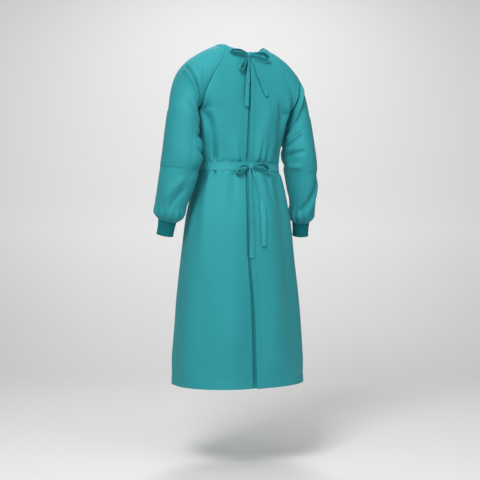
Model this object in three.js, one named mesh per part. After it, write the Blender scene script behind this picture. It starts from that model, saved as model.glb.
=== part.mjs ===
// A reusable surgical gown in its worn form: hollow cloth walls, cut as panels and sewn edge to edge.
// Millimetres, +Z up, the front towards -Y and the wearer's left towards +X.
// The origin is the middle of the neck opening, level with the shoulder line that carries the gown.
import * as THREE from "three";

// Cloth and seams
const CLOTH = 1.4; // wall of the woven body and sleeves
const PATCH = 1.0; // wall of a patch, band or binding laid on the cloth
const TIE = 1.3; // wall of a folded tie
const RIB_KNIT = 2.0; // wall of a cuff, ribs not counted
const SEAM = 0.3; // clear gap between neighbouring pieces

// Levels of the body
const UNDERARM = { x: 190, y: 6, z: -252 };
const BACK_NECK_Z = -31;
const FRONT_NECK_Z = -84;
const WAIST_Z = -452;
const BELT_WIDTH = 30;
const HEM_Z = -1254;

// How square the body's section is: 2 is an ellipse, more is boxier
const SQUARENESS = { underarm: 3.6, front: 2.4, back: 2.15 };

// Opening at the back: the right panel lies over the left one
const UNDER_REACH = 92; // how far the left panel runs past the middle, out of sight

const TIE_WIDTH = { neck: 17, waist: 20 };

// Colours of the dyed cloth and of the darker rib knit
const TEAL = 0x2f9499;
const DEEP_TEAL = 0x0a6a6e;

// Sections of the left sleeve from the neck (at 0) past the underarm (1) to the cuff seam (2).
// Each is an ellipse between its outer and inner line; wrap is how far it runs round from the top, in degrees.
const SLEEVE = table("at", [
  { at: 0.0, outerX: 94, outerZ: 0, innerX: 33, innerZ: -58, midY: 5, halfDepth: 56, tilt: 0.17, wrap: 70 },
  { at: 0.3, outerX: 158, outerZ: -31, innerX: 62, innerZ: -132, midY: 2, halfDepth: 88, tilt: 0.1, wrap: 85 },
  { at: 0.6, outerX: 213, outerZ: -69, innerX: 119, innerZ: -188, midY: 0, halfDepth: 95, tilt: 0.05, wrap: 101 },
  { at: 0.85, outerX: 250, outerZ: -117, innerX: 164, innerZ: -238, midY: 3, halfDepth: 90, tilt: 0.02, wrap: 124 },
  { at: 1.0, outerX: 267, outerZ: -167, innerX: 190, innerZ: -252, midY: 6, halfDepth: 83, tilt: 0, wrap: 180 },
  { at: 1.15, outerX: 282, outerZ: -228, innerX: 192, innerZ: -290, midY: 14, halfDepth: 76, tilt: 0, wrap: 180 },
  { at: 1.35, outerX: 301, outerZ: -328, innerX: 191, innerZ: -352, midY: 19, halfDepth: 74, tilt: 0.02, wrap: 180 },
  { at: 1.55, outerX: 314, outerZ: -418, innerX: 198, innerZ: -432, midY: 20, halfDepth: 75, tilt: -0.02, wrap: 180 },
  { at: 1.72, outerX: 325, outerZ: -503, innerX: 214, innerZ: -512, midY: 10, halfDepth: 66, tilt: -0.1, wrap: 180 },
  { at: 1.88, outerX: 330, outerZ: -586, innerX: 235, innerZ: -592, midY: -4, halfDepth: 57, tilt: -0.2, wrap: 180 },
  { at: 1.96, outerX: 328, outerZ: -628, innerX: 238, innerZ: -635, midY: -12, halfDepth: 52, tilt: -0.25, wrap: 180 },
  { at: 2.0, outerX: 317, outerZ: -647, innerX: 251, innerZ: -654, midY: -16, halfDepth: 34, tilt: -0.25, wrap: 180 },
]);

// Side seam of the body below the underarm.
const SIDE = table("drop", [
  { drop: -UNDERARM.z, halfWidth: UNDERARM.x, y: UNDERARM.y },
  { drop: 275, halfWidth: 181, y: 5 },
  { drop: 310, halfWidth: 174, y: 4 },
  { drop: 360, halfWidth: 167, y: 2 },
  { drop: 410, halfWidth: 161, y: 0 },
  { drop: -WAIST_Z, halfWidth: 159, y: 0 },
  { drop: 511, halfWidth: 174, y: 0 },
  { drop: 571, halfWidth: 188, y: 0 },
  { drop: 643, halfWidth: 203, y: 0 },
  { drop: 760, halfWidth: 216, y: 0 },
  { drop: 948, halfWidth: 231, y: 0 },
  { drop: -HEM_Z, halfWidth: 252, y: 0 },
]);

// Depth of the front's and the back's middle line, neck to hem.
const MIDDLE = {
  front: table("drop", [
    { drop: -FRONT_NECK_Z, depth: 90 },
    { drop: 140, depth: 106 },
    { drop: 220, depth: 116 },
    { drop: 300, depth: 115 },
    { drop: 400, depth: 110 },
    { drop: -WAIST_Z, depth: 104 },
    { drop: 511, depth: 118 },
    { drop: 643, depth: 142 },
    { drop: 948, depth: 170 },
    { drop: -HEM_Z, depth: 194 },
  ]),
  back: table("drop", [
    { drop: -BACK_NECK_Z, depth: 88 },
    { drop: 80, depth: 97 },
    { drop: 130, depth: 101 },
    { drop: 200, depth: 104 },
    { drop: 300, depth: 106 },
    { drop: 400, depth: 108 },
    { drop: -WAIST_Z, depth: 106 },
    { drop: 511, depth: 122 },
    { drop: 643, depth: 149 },
    { drop: 948, depth: 176 },
    { drop: -HEM_Z, depth: 199 },
  ]),
};

// Where the free edge of the right back panel runs, measured from the middle towards the wearer's left.
// The left panel dips this deep, over this width of slope, to pass under it.
const LAP_EDGE = table("drop", [
  { drop: 0, x: 4, dip: 3.4, slope: 46 },
  { drop: 150, x: 4, dip: 3.4, slope: 46 },
  { drop: 380, x: 15, dip: 3.4, slope: 46 },
  { drop: -WAIST_Z, x: 21, dip: 3.4, slope: 46 },
  { drop: 570, x: 31, dip: 3.6, slope: 52 },
  { drop: 780, x: 38, dip: 6, slope: 66 },
  { drop: 950, x: 30, dip: 11, slope: 86 },
  { drop: -HEM_Z, x: 31, dip: 17, slope: 104 },
]);

// Soft folds of the body: a ridge (or trough, if negative) between two levels; across is 0 at the middle, 1 at the side.
const BODY_FOLDS = [
  { face: "back", side: 1, top: -130, acrossTop: 0.82, foot: -436, acrossFoot: 0.61, width: 0.09, height: -8 },
  { face: "back", side: 1, top: -190, acrossTop: 0.6, foot: -436, acrossFoot: 0.46, width: 0.11, height: 4 },
  { face: "back", side: 1, top: -300, acrossTop: 0.3, foot: -436, acrossFoot: 0.2, width: 0.1, height: 4 },
  { face: "back", side: -1, top: -130, acrossTop: 0.6, foot: -436, acrossFoot: 0.58, width: 0.11, height: -8 },
  { face: "back", side: -1, top: -140, acrossTop: 0.32, foot: -436, acrossFoot: 0.13, width: 0.1, height: 5 },
  { face: "back", side: -1, top: -330, acrossTop: 0.4, foot: -436, acrossFoot: 0.34, width: 0.1, height: 4 },
  { face: "back", side: 1, top: -468, acrossTop: 0.66, foot: -900, acrossFoot: 0.74, width: 0.1, height: 7 },
  { face: "back", side: 1, top: -468, acrossTop: 0.28, foot: -760, acrossFoot: 0.34, width: 0.1, height: -5 },
  { face: "back", side: -1, top: -468, acrossTop: 0.18, foot: -800, acrossFoot: 0.16, width: 0.09, height: 5 },
  { face: "back", side: -1, top: -468, acrossTop: 0.44, foot: -1240, acrossFoot: 0.33, width: 0.12, height: -8 },
  { face: "front", side: 1, top: -200, acrossTop: 0.8, foot: -436, acrossFoot: 0.66, width: 0.12, height: -7 },
  { face: "front", side: -1, top: -190, acrossTop: 0.82, foot: -436, acrossFoot: 0.68, width: 0.12, height: -7 },
  { face: "front", side: 1, top: -280, acrossTop: 0.4, foot: -436, acrossFoot: 0.34, width: 0.09, height: 5 },
  { face: "front", side: -1, top: -300, acrossTop: 0.36, foot: -436, acrossFoot: 0.28, width: 0.09, height: 5 },
  { face: "front", side: 1, top: -468, acrossTop: 0.5, foot: -980, acrossFoot: 0.58, width: 0.11, height: 7 },
  { face: "front", side: -1, top: -468, acrossTop: 0.56, foot: -920, acrossFoot: 0.62, width: 0.11, height: 7 },
  { face: "front", side: 1, top: -468, acrossTop: 0.14, foot: -800, acrossFoot: 0.2, width: 0.1, height: -5 },
];

// Soft folds of a sleeve: from one point to another, in section (at) and turn (-1 back seam, 0 top, 1 front seam).
const SLEEVE_FOLDS = [
  { side: 1, at: 0.8, turn: -0.2, atEnd: 0.97, turnEnd: -0.66, width: 0.1, height: 9 },
  { side: -1, at: 0.78, turn: -0.46, atEnd: 1.08, turnEnd: -0.8, width: 0.1, height: 8 },
  { side: 1, at: 1.28, turn: -0.8, atEnd: 2.0, turnEnd: -0.8, width: 0.22, height: 22 },
  { side: 1, at: 1.44, turn: -0.95, atEnd: 1.58, turnEnd: -0.5, width: 0.12, height: 7 },
  { side: -1, at: 1.36, turn: -0.98, atEnd: 1.5, turnEnd: -0.5, width: 0.12, height: 8 },
  { side: 1, at: 1.95, turn: -0.1, atEnd: 1.8, turnEnd: -0.36, width: 0.12, height: 5 },
  { side: -1, at: 1.64, turn: -0.3, atEnd: 1.92, turnEnd: -0.92, width: 0.12, height: 7 },
  { side: 1, at: 1.4, turn: 0.9, atEnd: 1.52, turnEnd: 0.5, width: 0.12, height: 6 },
  { side: -1, at: 1.42, turn: 0.9, atEnd: 1.54, turnEnd: 0.5, width: 0.12, height: 6 },
];
const CUFF_GATHERS = { count: 11, height: 2.6, from: 1.9 };

// Rib-knit cuff below the sleeve
const CUFF = { start: 1, length: 54, topRadius: 32, footRadius: 29, ribs: 32, ribHeight: 1, rows: 2, dx: 0.1, dy: -0.25 };

// Elbow patch on the outer side of each sleeve
const ELBOW_PATCH = { from: 1.19, to: 1.63, turn: 0.56 };

// Bows: each knot sits on the back at x and z; its loops run to a tip, and its tails hang down the back.
const KNOTS = {
  neck: { x: 7, z: -44, lift: 1.85, halfWidth: 8, halfDepth: 6, halfHeight: 8 },
  waist: { x: 9, z: WAIST_Z - 3, lift: 2.6, halfWidth: 10, halfDepth: 7, halfHeight: 11 },
};
const LOOPS = [
  { name: "neck_loop_upper_left", knot: "neck", tipX: 80, tipZ: -40, rootAngle: 24, gap: 0.35, open: 9, sag: -3, lean: 0.2 },
  { name: "neck_loop_lower_left", knot: "neck", tipX: 52, tipZ: -104, rootAngle: -16, gap: 1.45, open: 18, sag: 0, lean: 0.3 },
  { name: "neck_loop_right", knot: "neck", tipX: -72, tipZ: -57, rootAngle: 0, gap: 0.1, open: 20, sag: -4, lean: 0.45 },
  { name: "waist_loop_left", knot: "waist", tipX: 66, tipZ: -480, rootAngle: 0, gap: 0.7, open: 17, sag: -5, lean: 0.4 },
  { name: "waist_loop_right", knot: "waist", tipX: -58, tipZ: -472, rootAngle: 0, gap: 0.15, open: 19, sag: -6, lean: 0.4 },
];
const TAILS = [
  { name: "neck_tail_left", knot: "neck", rootAngle: 14, gap: 1.85, midX: 18, midZ: -140, endX: 25, endZ: -233, twist: 0.15 },
  { name: "neck_tail_right", knot: "neck", rootAngle: -34, gap: 1.5, midX: -28, midZ: -112, endX: -62, endZ: -190, twist: 0.25 },
  { name: "waist_tail_left", knot: "waist", rootAngle: 26, gap: 2.7, midX: 25, midZ: -600, endX: 34, endZ: -786, twist: 0.35 },
  { name: "waist_tail_right", knot: "waist", rootAngle: -26, gap: 2.5, midX: -19, midZ: -585, endX: -17, endZ: -746, twist: -0.2 },
];
const LOOP_BOW = 4; // how far a loop arches off the back
const LOOP_STOPS = 16;
const TAIL_STOPS = 10;

// Levels and columns of the panels: 0 is the neck, 1 the underarm
const BINDING_LEVEL = 0.065;
const RAGLAN_LEVELS = [0, BINDING_LEVEL, 0.16, 0.28, 0.4, 0.52, 0.64, 0.75, 0.85, 0.93, 1];
const BELT_TOP = WAIST_Z + BELT_WIDTH / 2;
const BELT_FOOT = WAIST_Z - BELT_WIDTH / 2;
const BODY_DROPS = [
  290, 335, 380, 415, -BELT_TOP, -WAIST_Z, -BELT_FOOT, 490, 520, 565, 625, 700, 790, 890, 990, 1090, 1180, -HEM_Z,
];
const ARM_LEVELS = [1.08, 1.19, 1.27, 1.35, 1.43, 1.5, 1.57, 1.63, 1.71, 1.79, 1.86, 1.91, 1.95, 1.98, 2];
const FRONT_COLUMNS = 26;
const BACK_COLUMNS = 14;
const SLEEVE_COLUMNS = 18;

const BODY_LEVELS = [...RAGLAN_LEVELS, ...BODY_DROPS.map(levelAtDrop)];
const SLEEVE_LEVELS = [...RAGLAN_LEVELS, ...ARM_LEVELS];

// Small helpers

// A smooth curve through the rows of a size table: give it a key, and it gives every column there.
function table(key, rows) {
  const columns = Object.keys(rows[0]).filter((name) => name !== key);
  const keys = rows.map((row) => row[key]);
  const values = rows.flatMap((row) => columns.map((name) => row[name]));
  const curve = new THREE.CubicInterpolant(keys, values, columns.length);
  return (at) => {
    const clamped = THREE.MathUtils.clamp(at, keys[0], keys[keys.length - 1]);
    const found = curve.evaluate(clamped);
    return Object.fromEntries(columns.map((name, i) => [name, found[i]]));
  };
}

function vector(x, y, z) {
  return new THREE.Vector3(x, y, z);
}

function mix(a, b, share) {
  return THREE.MathUtils.lerp(a, b, share);
}

function ease(value, low, high) {
  return THREE.MathUtils.smoothstep(value, low, high);
}

function evenly(count, from = 0, to = 1) {
  return Array.from({ length: count + 1 }, (_, i) => mix(from, to, i / count));
}

function levelAtDrop(drop) {
  return 1 + (drop + UNDERARM.z) / (UNDERARM.z - HEM_Z);
}

function dropAtLevel(level) {
  return mix(-UNDERARM.z, -HEM_Z, level - 1);
}

// The value between low and high at which a rising function reaches its target.
function solve(rising, target, low, high) {
  for (let step = 0; step < 40; step++) {
    const middle = (low + high) / 2;
    if (rising(middle) < target) low = middle;
    else high = middle;
  }
  return (low + high) / 2;
}

// Surface of a sleeve

// Height of a soft ridge at a distance from its line, both in the same unit as its half width.
function ridge(distance, halfWidth) {
  return Math.exp(-((distance / halfWidth) ** 2));
}

// How much of a sleeve fold's height is left at a point, 1 at the middle of its line.
function sleeveFoldShare(fold, at, turn) {
  const along = vector(fold.atEnd - fold.at, fold.turnEnd - fold.turn, 0);
  const here = vector(at - fold.at, turn - fold.turn, 0);
  const share = THREE.MathUtils.clamp(here.dot(along) / along.lengthSq(), 0, 1);
  const off = here.addScaledVector(along, -share).length();
  return ridge(off, fold.width) * (0.4 + 0.6 * Math.sin(Math.PI * share));
}

function sleeveFoldHeight(side, at, turn) {
  // past the underarm the sleeve is a closed tube, and a fold runs on across its seam
  const turns = at > 1 ? [turn - 2, turn, turn + 2] : [turn];
  let height = 0;
  for (const fold of SLEEVE_FOLDS.filter((row) => row.side === side)) {
    height += fold.height * Math.max(...turns.map((round) => sleeveFoldShare(fold, at, round)));
  }
  const seamFade = at < 1 ? 1 - Math.abs(turn) ** 4 : 1 - ease(Math.abs(turn), 0.9, 1) * (1 - ease(at, 1, 1.1));
  const gather = CUFF_GATHERS.height * Math.cos(Math.PI * CUFF_GATHERS.count * turn);
  const gatherShare = ease(at, CUFF_GATHERS.from, 1.965) * (1 - 0.6 * ease(at, 1.975, 2));
  return height * seamFade * (1 - ease(at, 1.93, 2)) + gather * gatherShare;
}

// A point of the sleeve on one side (1 left, -1 right); turn runs from -1 at the back to 1 at the front.
function sleevePoint(side, at, turn) {
  const size = SLEEVE(at);
  const angle = THREE.MathUtils.degToRad(size.wrap) * turn;
  const reach = vector((size.outerX - size.innerX) / 2, 0, (size.outerZ - size.innerZ) / 2);
  const centre = vector(size.innerX, size.midY, size.innerZ).add(reach);
  const forward = vector(0, -1, -size.tilt).multiplyScalar(size.halfDepth);
  const out = reach.multiplyScalar(Math.cos(angle)).addScaledVector(forward, Math.sin(angle));
  const fold = sleeveFoldHeight(side, at, turn);
  const point = centre.add(out).addScaledVector(out.clone().normalize(), fold);
  return vector(side * point.x, point.y, point.z);
}

// Surface of the body

function bodyFoldHeight(face, side, z, across) {
  let height = 0;
  for (const fold of BODY_FOLDS) {
    if (fold.face !== face || fold.side !== side) continue;
    const share = (z - fold.top) / (fold.foot - fold.top);
    if (share <= 0 || share >= 1) continue;
    const line = mix(fold.acrossTop, fold.acrossFoot, share);
    const fromBelt = fold.top > BELT_FOOT ? 1 - share : share;
    const fade = ease(fromBelt, 0, 0.06) * (1 - ease(fromBelt, 0.45, 1));
    height += fold.height * fade * ridge(across - line, fold.width);
  }
  return height;
}

// A point of the front or back at a level; across runs from -1 (right seam) through 0 (middle) to 1 (left seam).
function bodyPoint(face, level, across) {
  const side = across < 0 ? -1 : 1;
  const sign = face === "back" ? 1 : -1;
  const share = Math.abs(across);
  let edge;
  let middleZ;
  if (level <= 1) {
    edge = sleevePoint(side, level, -sign);
    middleZ = mix(face === "back" ? BACK_NECK_Z : FRONT_NECK_Z, UNDERARM.z, level);
  } else {
    middleZ = -dropAtLevel(level);
    const seam = SIDE(-middleZ);
    edge = vector(side * seam.halfWidth, seam.y, middleZ);
  }
  const depth = sign * MIDDLE[face](-middleZ).depth;
  const round = ease(level, 0.3, 1);
  const square = mix(SQUARENESS.underarm, SQUARENESS[face], ease(level, 1, 1.16));
  const width = mix(share, Math.sin((Math.PI / 2) * share), round);
  const crown = (1 - width ** mix(2.2, square, round)) ** (1 / mix(1, square, round));
  const x = edge.x * width;
  const y = mix(edge.y, depth, crown);
  const z = mix(edge.z, middleZ, 1 - width * width);
  const fold = bodyFoldHeight(face, side, z, share) * (1 - share ** 6);
  const out = vector(x / edge.x ** 2, (y - edge.y) / depth ** 2, 0).normalize();
  return vector(x, y, z).addScaledVector(out, fold);
}

// How far across the back lies a distance x from the middle.
function acrossAt(level, x) {
  return solve((across) => bodyPoint("back", level, across).x, x, -1, 1);
}

function lapEdgeAcross(level) {
  const drop = level <= 1 ? mix(-BACK_NECK_Z, -UNDERARM.z, level) : dropAtLevel(level);
  return acrossAt(level, LAP_EDGE(drop).x);
}

// The point of the back straight behind x and z, with the cloth's outward direction there.
function onBack(x, z) {
  const level = solve((at) => -bodyPoint("back", at, acrossAt(at, x)).z, -z, 0, 2);
  const across = acrossAt(level, x);
  const step = 0.01;
  const down = bodyPoint("back", Math.min(level + step, 2), across).sub(
    bodyPoint("back", Math.max(level - step, 0), across),
  );
  const left = bodyPoint("back", level, across + step).sub(bodyPoint("back", level, across - step));
  return { point: bodyPoint("back", level, across), out: down.cross(left).normalize().negate() };
}

// Sheets of cloth: a grid of points, and the walls made from them

function sheet(levels, columnsAt, pointAt, flip = false) {
  const points = levels.map((level) => columnsAt(level).map((column) => pointAt(level, column)));
  return { points, flip };
}

function cellsOf({ points, flip }) {
  const cells = [];
  for (let i = 0; i + 1 < points.length; i++) {
    for (let j = 0; j + 1 < points[i].length; j++) {
      const corners = [[i, j], [i + 1, j], [i + 1, j + 1], [i, j + 1]];
      cells.push(flip ? corners.reverse() : corners);
    }
  }
  return cells;
}

function keyOf(point) {
  return [point.x, point.y, point.z].map((value) => value.toFixed(3)).join(" ");
}

// The outward direction at each point, shared by all the sheets that meet there.
function sharedNormals(sheets) {
  const normals = new Map();
  for (const cloth of sheets) {
    for (const cell of cellsOf(cloth)) {
      const [a, b, c, d] = cell.map(([i, j]) => cloth.points[i][j]);
      const facing = c.clone().sub(a).cross(d.clone().sub(b));
      for (const corner of [a, b, c, d]) {
        const key = keyOf(corner);
        normals.set(key, (normals.get(key) ?? vector(0, 0, 0)).add(facing));
      }
    }
  }
  normals.forEach((normal) => normal.normalize());
  return normals;
}

// A closed wall on a sheet, lifted off it, with its free edges drawn in by half a seam gap.
// Lift moves the whole wall out, and rise its outer face only.
function wall(cloth, normals, thick, lift = () => 0, rise = () => 0) {
  const found = new Map();
  const corners = [];
  const grid = cloth.points.map((row, i) =>
    row.map((point, j) => {
      const key = keyOf(point);
      if (!found.has(key)) {
        found.set(key, corners.length);
        const inset = vector(0, 0, 0);
        corners.push({ point, normal: normals.get(key), lift: lift(i, j), rise: rise(i, j), inset });
      }
      return found.get(key);
    }),
  );
  const faces = [];
  for (const cell of cellsOf(cloth)) {
    const [a, b, c, d] = cell.map(([i, j]) => grid[i][j]);
    faces.push([a, b, c], [a, c, d]);
  }
  const edges = new Map();
  for (const [a, b, c] of faces) [[a, b], [b, c], [c, a]].forEach(([u, v]) => edges.set(`${u} ${v}`, [u, v]));
  const rim = [...edges.values()].filter(([u, v]) => !edges.has(`${v} ${u}`));
  for (const [u, v] of rim) {
    const along = corners[v].point.clone().sub(corners[u].point);
    for (const corner of [corners[u], corners[v]]) {
      corner.inset.add(corner.normal.clone().cross(along).normalize());
    }
  }
  const outer = corners.map((c) => placed(c, c.lift + thick / 2 + c.rise));
  const inner = corners.map((c) => placed(c, c.lift - thick / 2));
  const shift = corners.length;
  const index = faces.flatMap(([a, b, c]) => [a, b, c, c + shift, b + shift, a + shift]);
  for (const [u, v] of rim) {
    // neighbours split the strip along their seam the same way
    if (keyOf(corners[u].point) < keyOf(corners[v].point)) index.push(v, u, u + shift, v, u + shift, v + shift);
    else index.push(v, u, v + shift, v + shift, u, u + shift);
  }
  return meshGeometry([...outer, ...inner], index);
}

function placed(corner, height) {
  const inset = corner.inset.lengthSq() > 0 ? corner.inset.clone().normalize() : corner.inset;
  return corner.point.clone().addScaledVector(inset, SEAM / 2).addScaledVector(corner.normal, height);
}

function meshGeometry(points, index) {
  const geometry = new THREE.BufferGeometry().setFromPoints(points);
  geometry.setIndex(index);
  geometry.computeVertexNormals();
  return geometry;
}

// A band of cloth along a line: each stop has a point and the half width's direction and length.
function ribbon(stops, thick, strands = 2) {
  const shares = evenly(strands, -1, 1);
  const points = stops.map(({ point, half }) => shares.map((s) => point.clone().addScaledVector(half, s)));
  const cloth = { points, flip: false };
  return wall(cloth, sharedNormals([cloth]), thick);
}

// The pieces

const cloth = new THREE.MeshStandardMaterial({ color: TEAL, roughness: 0.8, metalness: 0 });
const ribKnit = new THREE.MeshStandardMaterial({ color: DEEP_TEAL, roughness: 0.95, metalness: 0 });
const gown = new THREE.Group();

function addPiece(name, geometry, material = cloth) {
  const mesh = new THREE.Mesh(geometry, material);
  mesh.name = name;
  gown.add(mesh);
}

const SIDES = [
  { name: "left", side: 1 },
  { name: "right", side: -1 },
];

const panels = {
  front: sheet(
    BODY_LEVELS,
    () => evenly(FRONT_COLUMNS, -1, 1),
    (level, across) => bodyPoint("front", level, across),
  ),
  back_left: sheet(
    BODY_LEVELS,
    (level) => evenly(BACK_COLUMNS + 4, acrossAt(level, -UNDER_REACH * ease(level, -0.4, 0.5)), 1),
    (level, across) => bodyPoint("back", level, across),
    true,
  ),
  back_right: sheet(
    BODY_LEVELS,
    (level) => evenly(BACK_COLUMNS, -1, lapEdgeAcross(level)),
    (level, across) => bodyPoint("back", level, across),
    true,
  ),
};
const sleeves = SIDES.map(({ side }) =>
  sheet(
    SLEEVE_LEVELS,
    () => evenly(SLEEVE_COLUMNS, -1, 1),
    (at, turn) => sleevePoint(side, at, turn),
    side > 0,
  ),
);
const normals = sharedNormals([...Object.values(panels), ...sleeves]);

// The left back panel dips to pass under the right one's edge.
function lapLift(level, point) {
  const drop = level <= 1 ? mix(-BACK_NECK_Z, -UNDERARM.z, level) : dropAtLevel(level);
  const edge = LAP_EDGE(drop);
  return -edge.dip * (1 - ease(point.x, edge.x + 4, edge.x + edge.slope));
}

addPiece("front_panel", wall(panels.front, normals, CLOTH));
addPiece("back_right_panel", wall(panels.back_right, normals, CLOTH));
addPiece(
  "back_left_panel",
  wall(panels.back_left, normals, CLOTH, (i, j) => lapLift(BODY_LEVELS[i], panels.back_left.points[i][j])),
);
SIDES.forEach(({ name }, i) => addPiece(`sleeve_${name}`, wall(sleeves[i], normals, CLOTH)));

// Pieces laid on the panels are made from the panels' own points, moved out.
const LAID = CLOTH / 2 + SEAM + PATCH / 2;

function isWithin(value, low, high) {
  return value > low - 1e-6 && value < high + 1e-6;
}

SIDES.forEach(({ name, side }, i) => {
  const turns = evenly(SLEEVE_COLUMNS, -1, 1);
  const rows = sleeves[i].points.filter((_, row) => isWithin(SLEEVE_LEVELS[row], ELBOW_PATCH.from, ELBOW_PATCH.to));
  const points = rows.map((row) => row.filter((_, j) => Math.abs(turns[j]) < ELBOW_PATCH.turn));
  addPiece(`elbow_patch_${name}`, wall({ points, flip: side > 0 }, normals, PATCH, () => LAID));
});

// One row of points right round the body or the neck, from the right back panel's edge to the left back panel's.
// Each stop keeps how far its cloth dips at the lap.
function roundRow(rowIndex, sleeveRow, pastLap) {
  const level = BODY_LEVELS[rowIndex];
  const drop = level <= 1 ? mix(-BACK_NECK_Z, -UNDERARM.z, level) : dropAtLevel(level);
  const left = panels.back_left.points[rowIndex].filter((point) => point.x > LAP_EDGE(drop).x + pastLap);
  const row = panels.back_right.points[rowIndex].slice().reverse();
  if (sleeveRow !== undefined) row.push(...sleeves[1].points[sleeveRow].slice(1));
  row.push(...panels.front.points[rowIndex].slice(1));
  if (sleeveRow !== undefined) row.push(...sleeves[0].points[sleeveRow].slice().reverse().slice(1));
  const firstLeft = row.length - 1;
  row.push(...left.reverse().slice(1));
  return row.map((point, j) => ({ point, dip: j > firstLeft ? lapLift(level, point) : 0 }));
}

function laidBand(rows) {
  const count = Math.min(...rows.map((row) => row.length));
  const points = rows.map((row) => row.slice(0, count).map((stop) => stop.point));
  return wall({ points, flip: false }, normals, PATCH, (i, j) => LAID + rows[i][j].dip);
}

addPiece("neck_binding", laidBand([roundRow(0, 0, 6), roundRow(1, 1, 6)]));

const beltRows = [-BELT_TOP, -WAIST_Z, -BELT_FOOT].map((drop) => BODY_LEVELS.indexOf(levelAtDrop(drop)));
const beltPoints = beltRows.map((row) => roundRow(row, undefined, 4));
addPiece("belt", laidBand(beltPoints));

// Cuffs: a plain tube inside, raised ribs outside.
SIDES.forEach(({ name, side }) => {
  const end = SLEEVE(2);
  const top = vector((end.outerX + end.innerX) / 2, end.midY, (end.outerZ + end.innerZ) / 2);
  const axis = vector(CUFF.dx, CUFF.dy, -1).normalize();
  const forward = vector(0, -1, 0).addScaledVector(axis, axis.y).normalize();
  const sideways = forward.clone().cross(axis).normalize();
  const tube = sheet(
    evenly(CUFF.rows),
    () => evenly(CUFF.ribs * 2),
    (share, round) => {
      const angle = 2 * Math.PI * round;
      const radius = mix(CUFF.topRadius, CUFF.footRadius, share);
      const point = top.clone().addScaledVector(axis, CUFF.start + CUFF.length * share);
      point.addScaledVector(sideways, radius * Math.cos(angle)).addScaledVector(forward, radius * Math.sin(angle));
      return vector(side * point.x, point.y, point.z);
    },
    side > 0,
  );
  const ribs = (i, j) => (j % 2 === 0 ? CUFF.ribHeight : 0);
  addPiece(`cuff_${name}`, wall(tube, sharedNormals([tube]), RIB_KNIT, () => 0, ribs), ribKnit);
});

// The two bows

function tieHeight(knot) {
  return KNOTS[knot].lift + KNOTS[knot].halfDepth;
}

function knotMiddle(name) {
  const { point, out } = onBack(KNOTS[name].x, KNOTS[name].z);
  return point.addScaledVector(out, tieHeight(name));
}

// The point just off a knot's face, in a direction along the back.
function besideKnot(name, x, z, gap) {
  const { halfWidth, halfHeight } = KNOTS[name];
  const reach = 1 / Math.hypot(x / halfWidth, z / halfHeight) + gap;
  return knotMiddle(name).add(vector(x, 0, z).multiplyScalar(reach));
}

for (const [name, knot] of Object.entries(KNOTS)) {
  const geometry = new THREE.SphereGeometry(1, 14, 9);
  geometry.scale(knot.halfWidth, knot.halfDepth, knot.halfHeight);
  geometry.translate(...knotMiddle(name).toArray());
  addPiece(`${name}_knot`, geometry);
}

// A loop is a band standing on edge that runs out to its tip and back, open like a drop between its strands.
for (const loop of LOOPS) {
  const knot = KNOTS[loop.knot];
  const toTip = Math.sign(loop.tipX - knot.x);
  const start = onBack(knot.x, knot.z);
  const tip = onBack(loop.tipX, loop.tipZ);
  const steep = THREE.MathUtils.degToRad(loop.rootAngle);
  const root = besideKnot(loop.knot, toTip * Math.cos(steep), Math.sin(steep), loop.gap);
  const end = tip.point.clone().addScaledVector(tip.out, TIE_WIDTH[loop.knot] / 2 + 6);
  const along = end.clone().sub(root);
  const up = vector(0, 1, 0).cross(along).normalize().multiplyScalar(-toTip);
  const out = along.clone().cross(up).normalize().multiplyScalar(toTip);
  const half = out.addScaledVector(up, -loop.lean).normalize().multiplyScalar(TIE_WIDTH[loop.knot] / 2);
  const stops = evenly(LOOP_STOPS).map((share) => {
    const angle = 2 * Math.PI * share;
    const reach = (1 - Math.cos(angle)) / 2;
    const spread = Math.sin(angle) * Math.sqrt(reach) * loop.open * 0.62 + 1.3 * (1 - 2 * share) * (1 - reach);
    const point = root.clone().addScaledVector(along, reach);
    point.addScaledVector(up, spread - 4 * loop.sag * reach * (1 - reach));
    point.addScaledVector(start.out, 4 * LOOP_BOW * reach * (1 - reach));
    return { point, half: half.clone().multiplyScalar(mix(0.4, 1, ease(reach, 0, 0.6))) };
  });
  addPiece(loop.name, ribbon(stops, TIE, 1));
}

// A tail hangs from the knot down the back, narrow at the knot and flat below.
for (const tail of TAILS) {
  const knot = KNOTS[tail.knot];
  const steep = THREE.MathUtils.degToRad(tail.rootAngle);
  const root = besideKnot(tail.knot, Math.sin(steep), -Math.cos(steep), tail.gap);
  const width = TIE_WIDTH[tail.knot];
  const line = new THREE.CatmullRomCurve3([
    vector(root.x, 0, root.z),
    vector(mix(root.x, tail.midX, 0.55), 0, mix(root.z, tail.midZ, 0.5)),
    vector(tail.midX, 0, tail.midZ),
    vector(tail.endX, 0, tail.endZ),
  ]);
  const stops = evenly(TAIL_STOPS).map((share) => {
    const at = line.getPointAt(share);
    const { point, out } = onBack(at.x, at.z);
    const lift = mix(tieHeight(tail.knot), CLOTH / 2 + PATCH + TIE + 1.5, ease(share, 0, 0.25));
    const along = line.getTangentAt(share);
    const twist = tail.twist * Math.sin(Math.PI * share);
    const half = along.cross(out).normalize();
    half.multiplyScalar(Math.cos(twist)).addScaledVector(out, Math.sin(twist));
    half.multiplyScalar((width / 2) * mix(0.34, 1, ease(share, 0, 0.5)));
    return { point: point.addScaledVector(out, lift + Math.abs(half.dot(out))), half };
  });
  addPiece(tail.name, ribbon(stops, TIE, 1));
}

export default gown;
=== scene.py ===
"""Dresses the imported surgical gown: thin cloth shells with creases, seams and stitches, on a plain stage."""

import math
from collections import namedtuple

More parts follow.
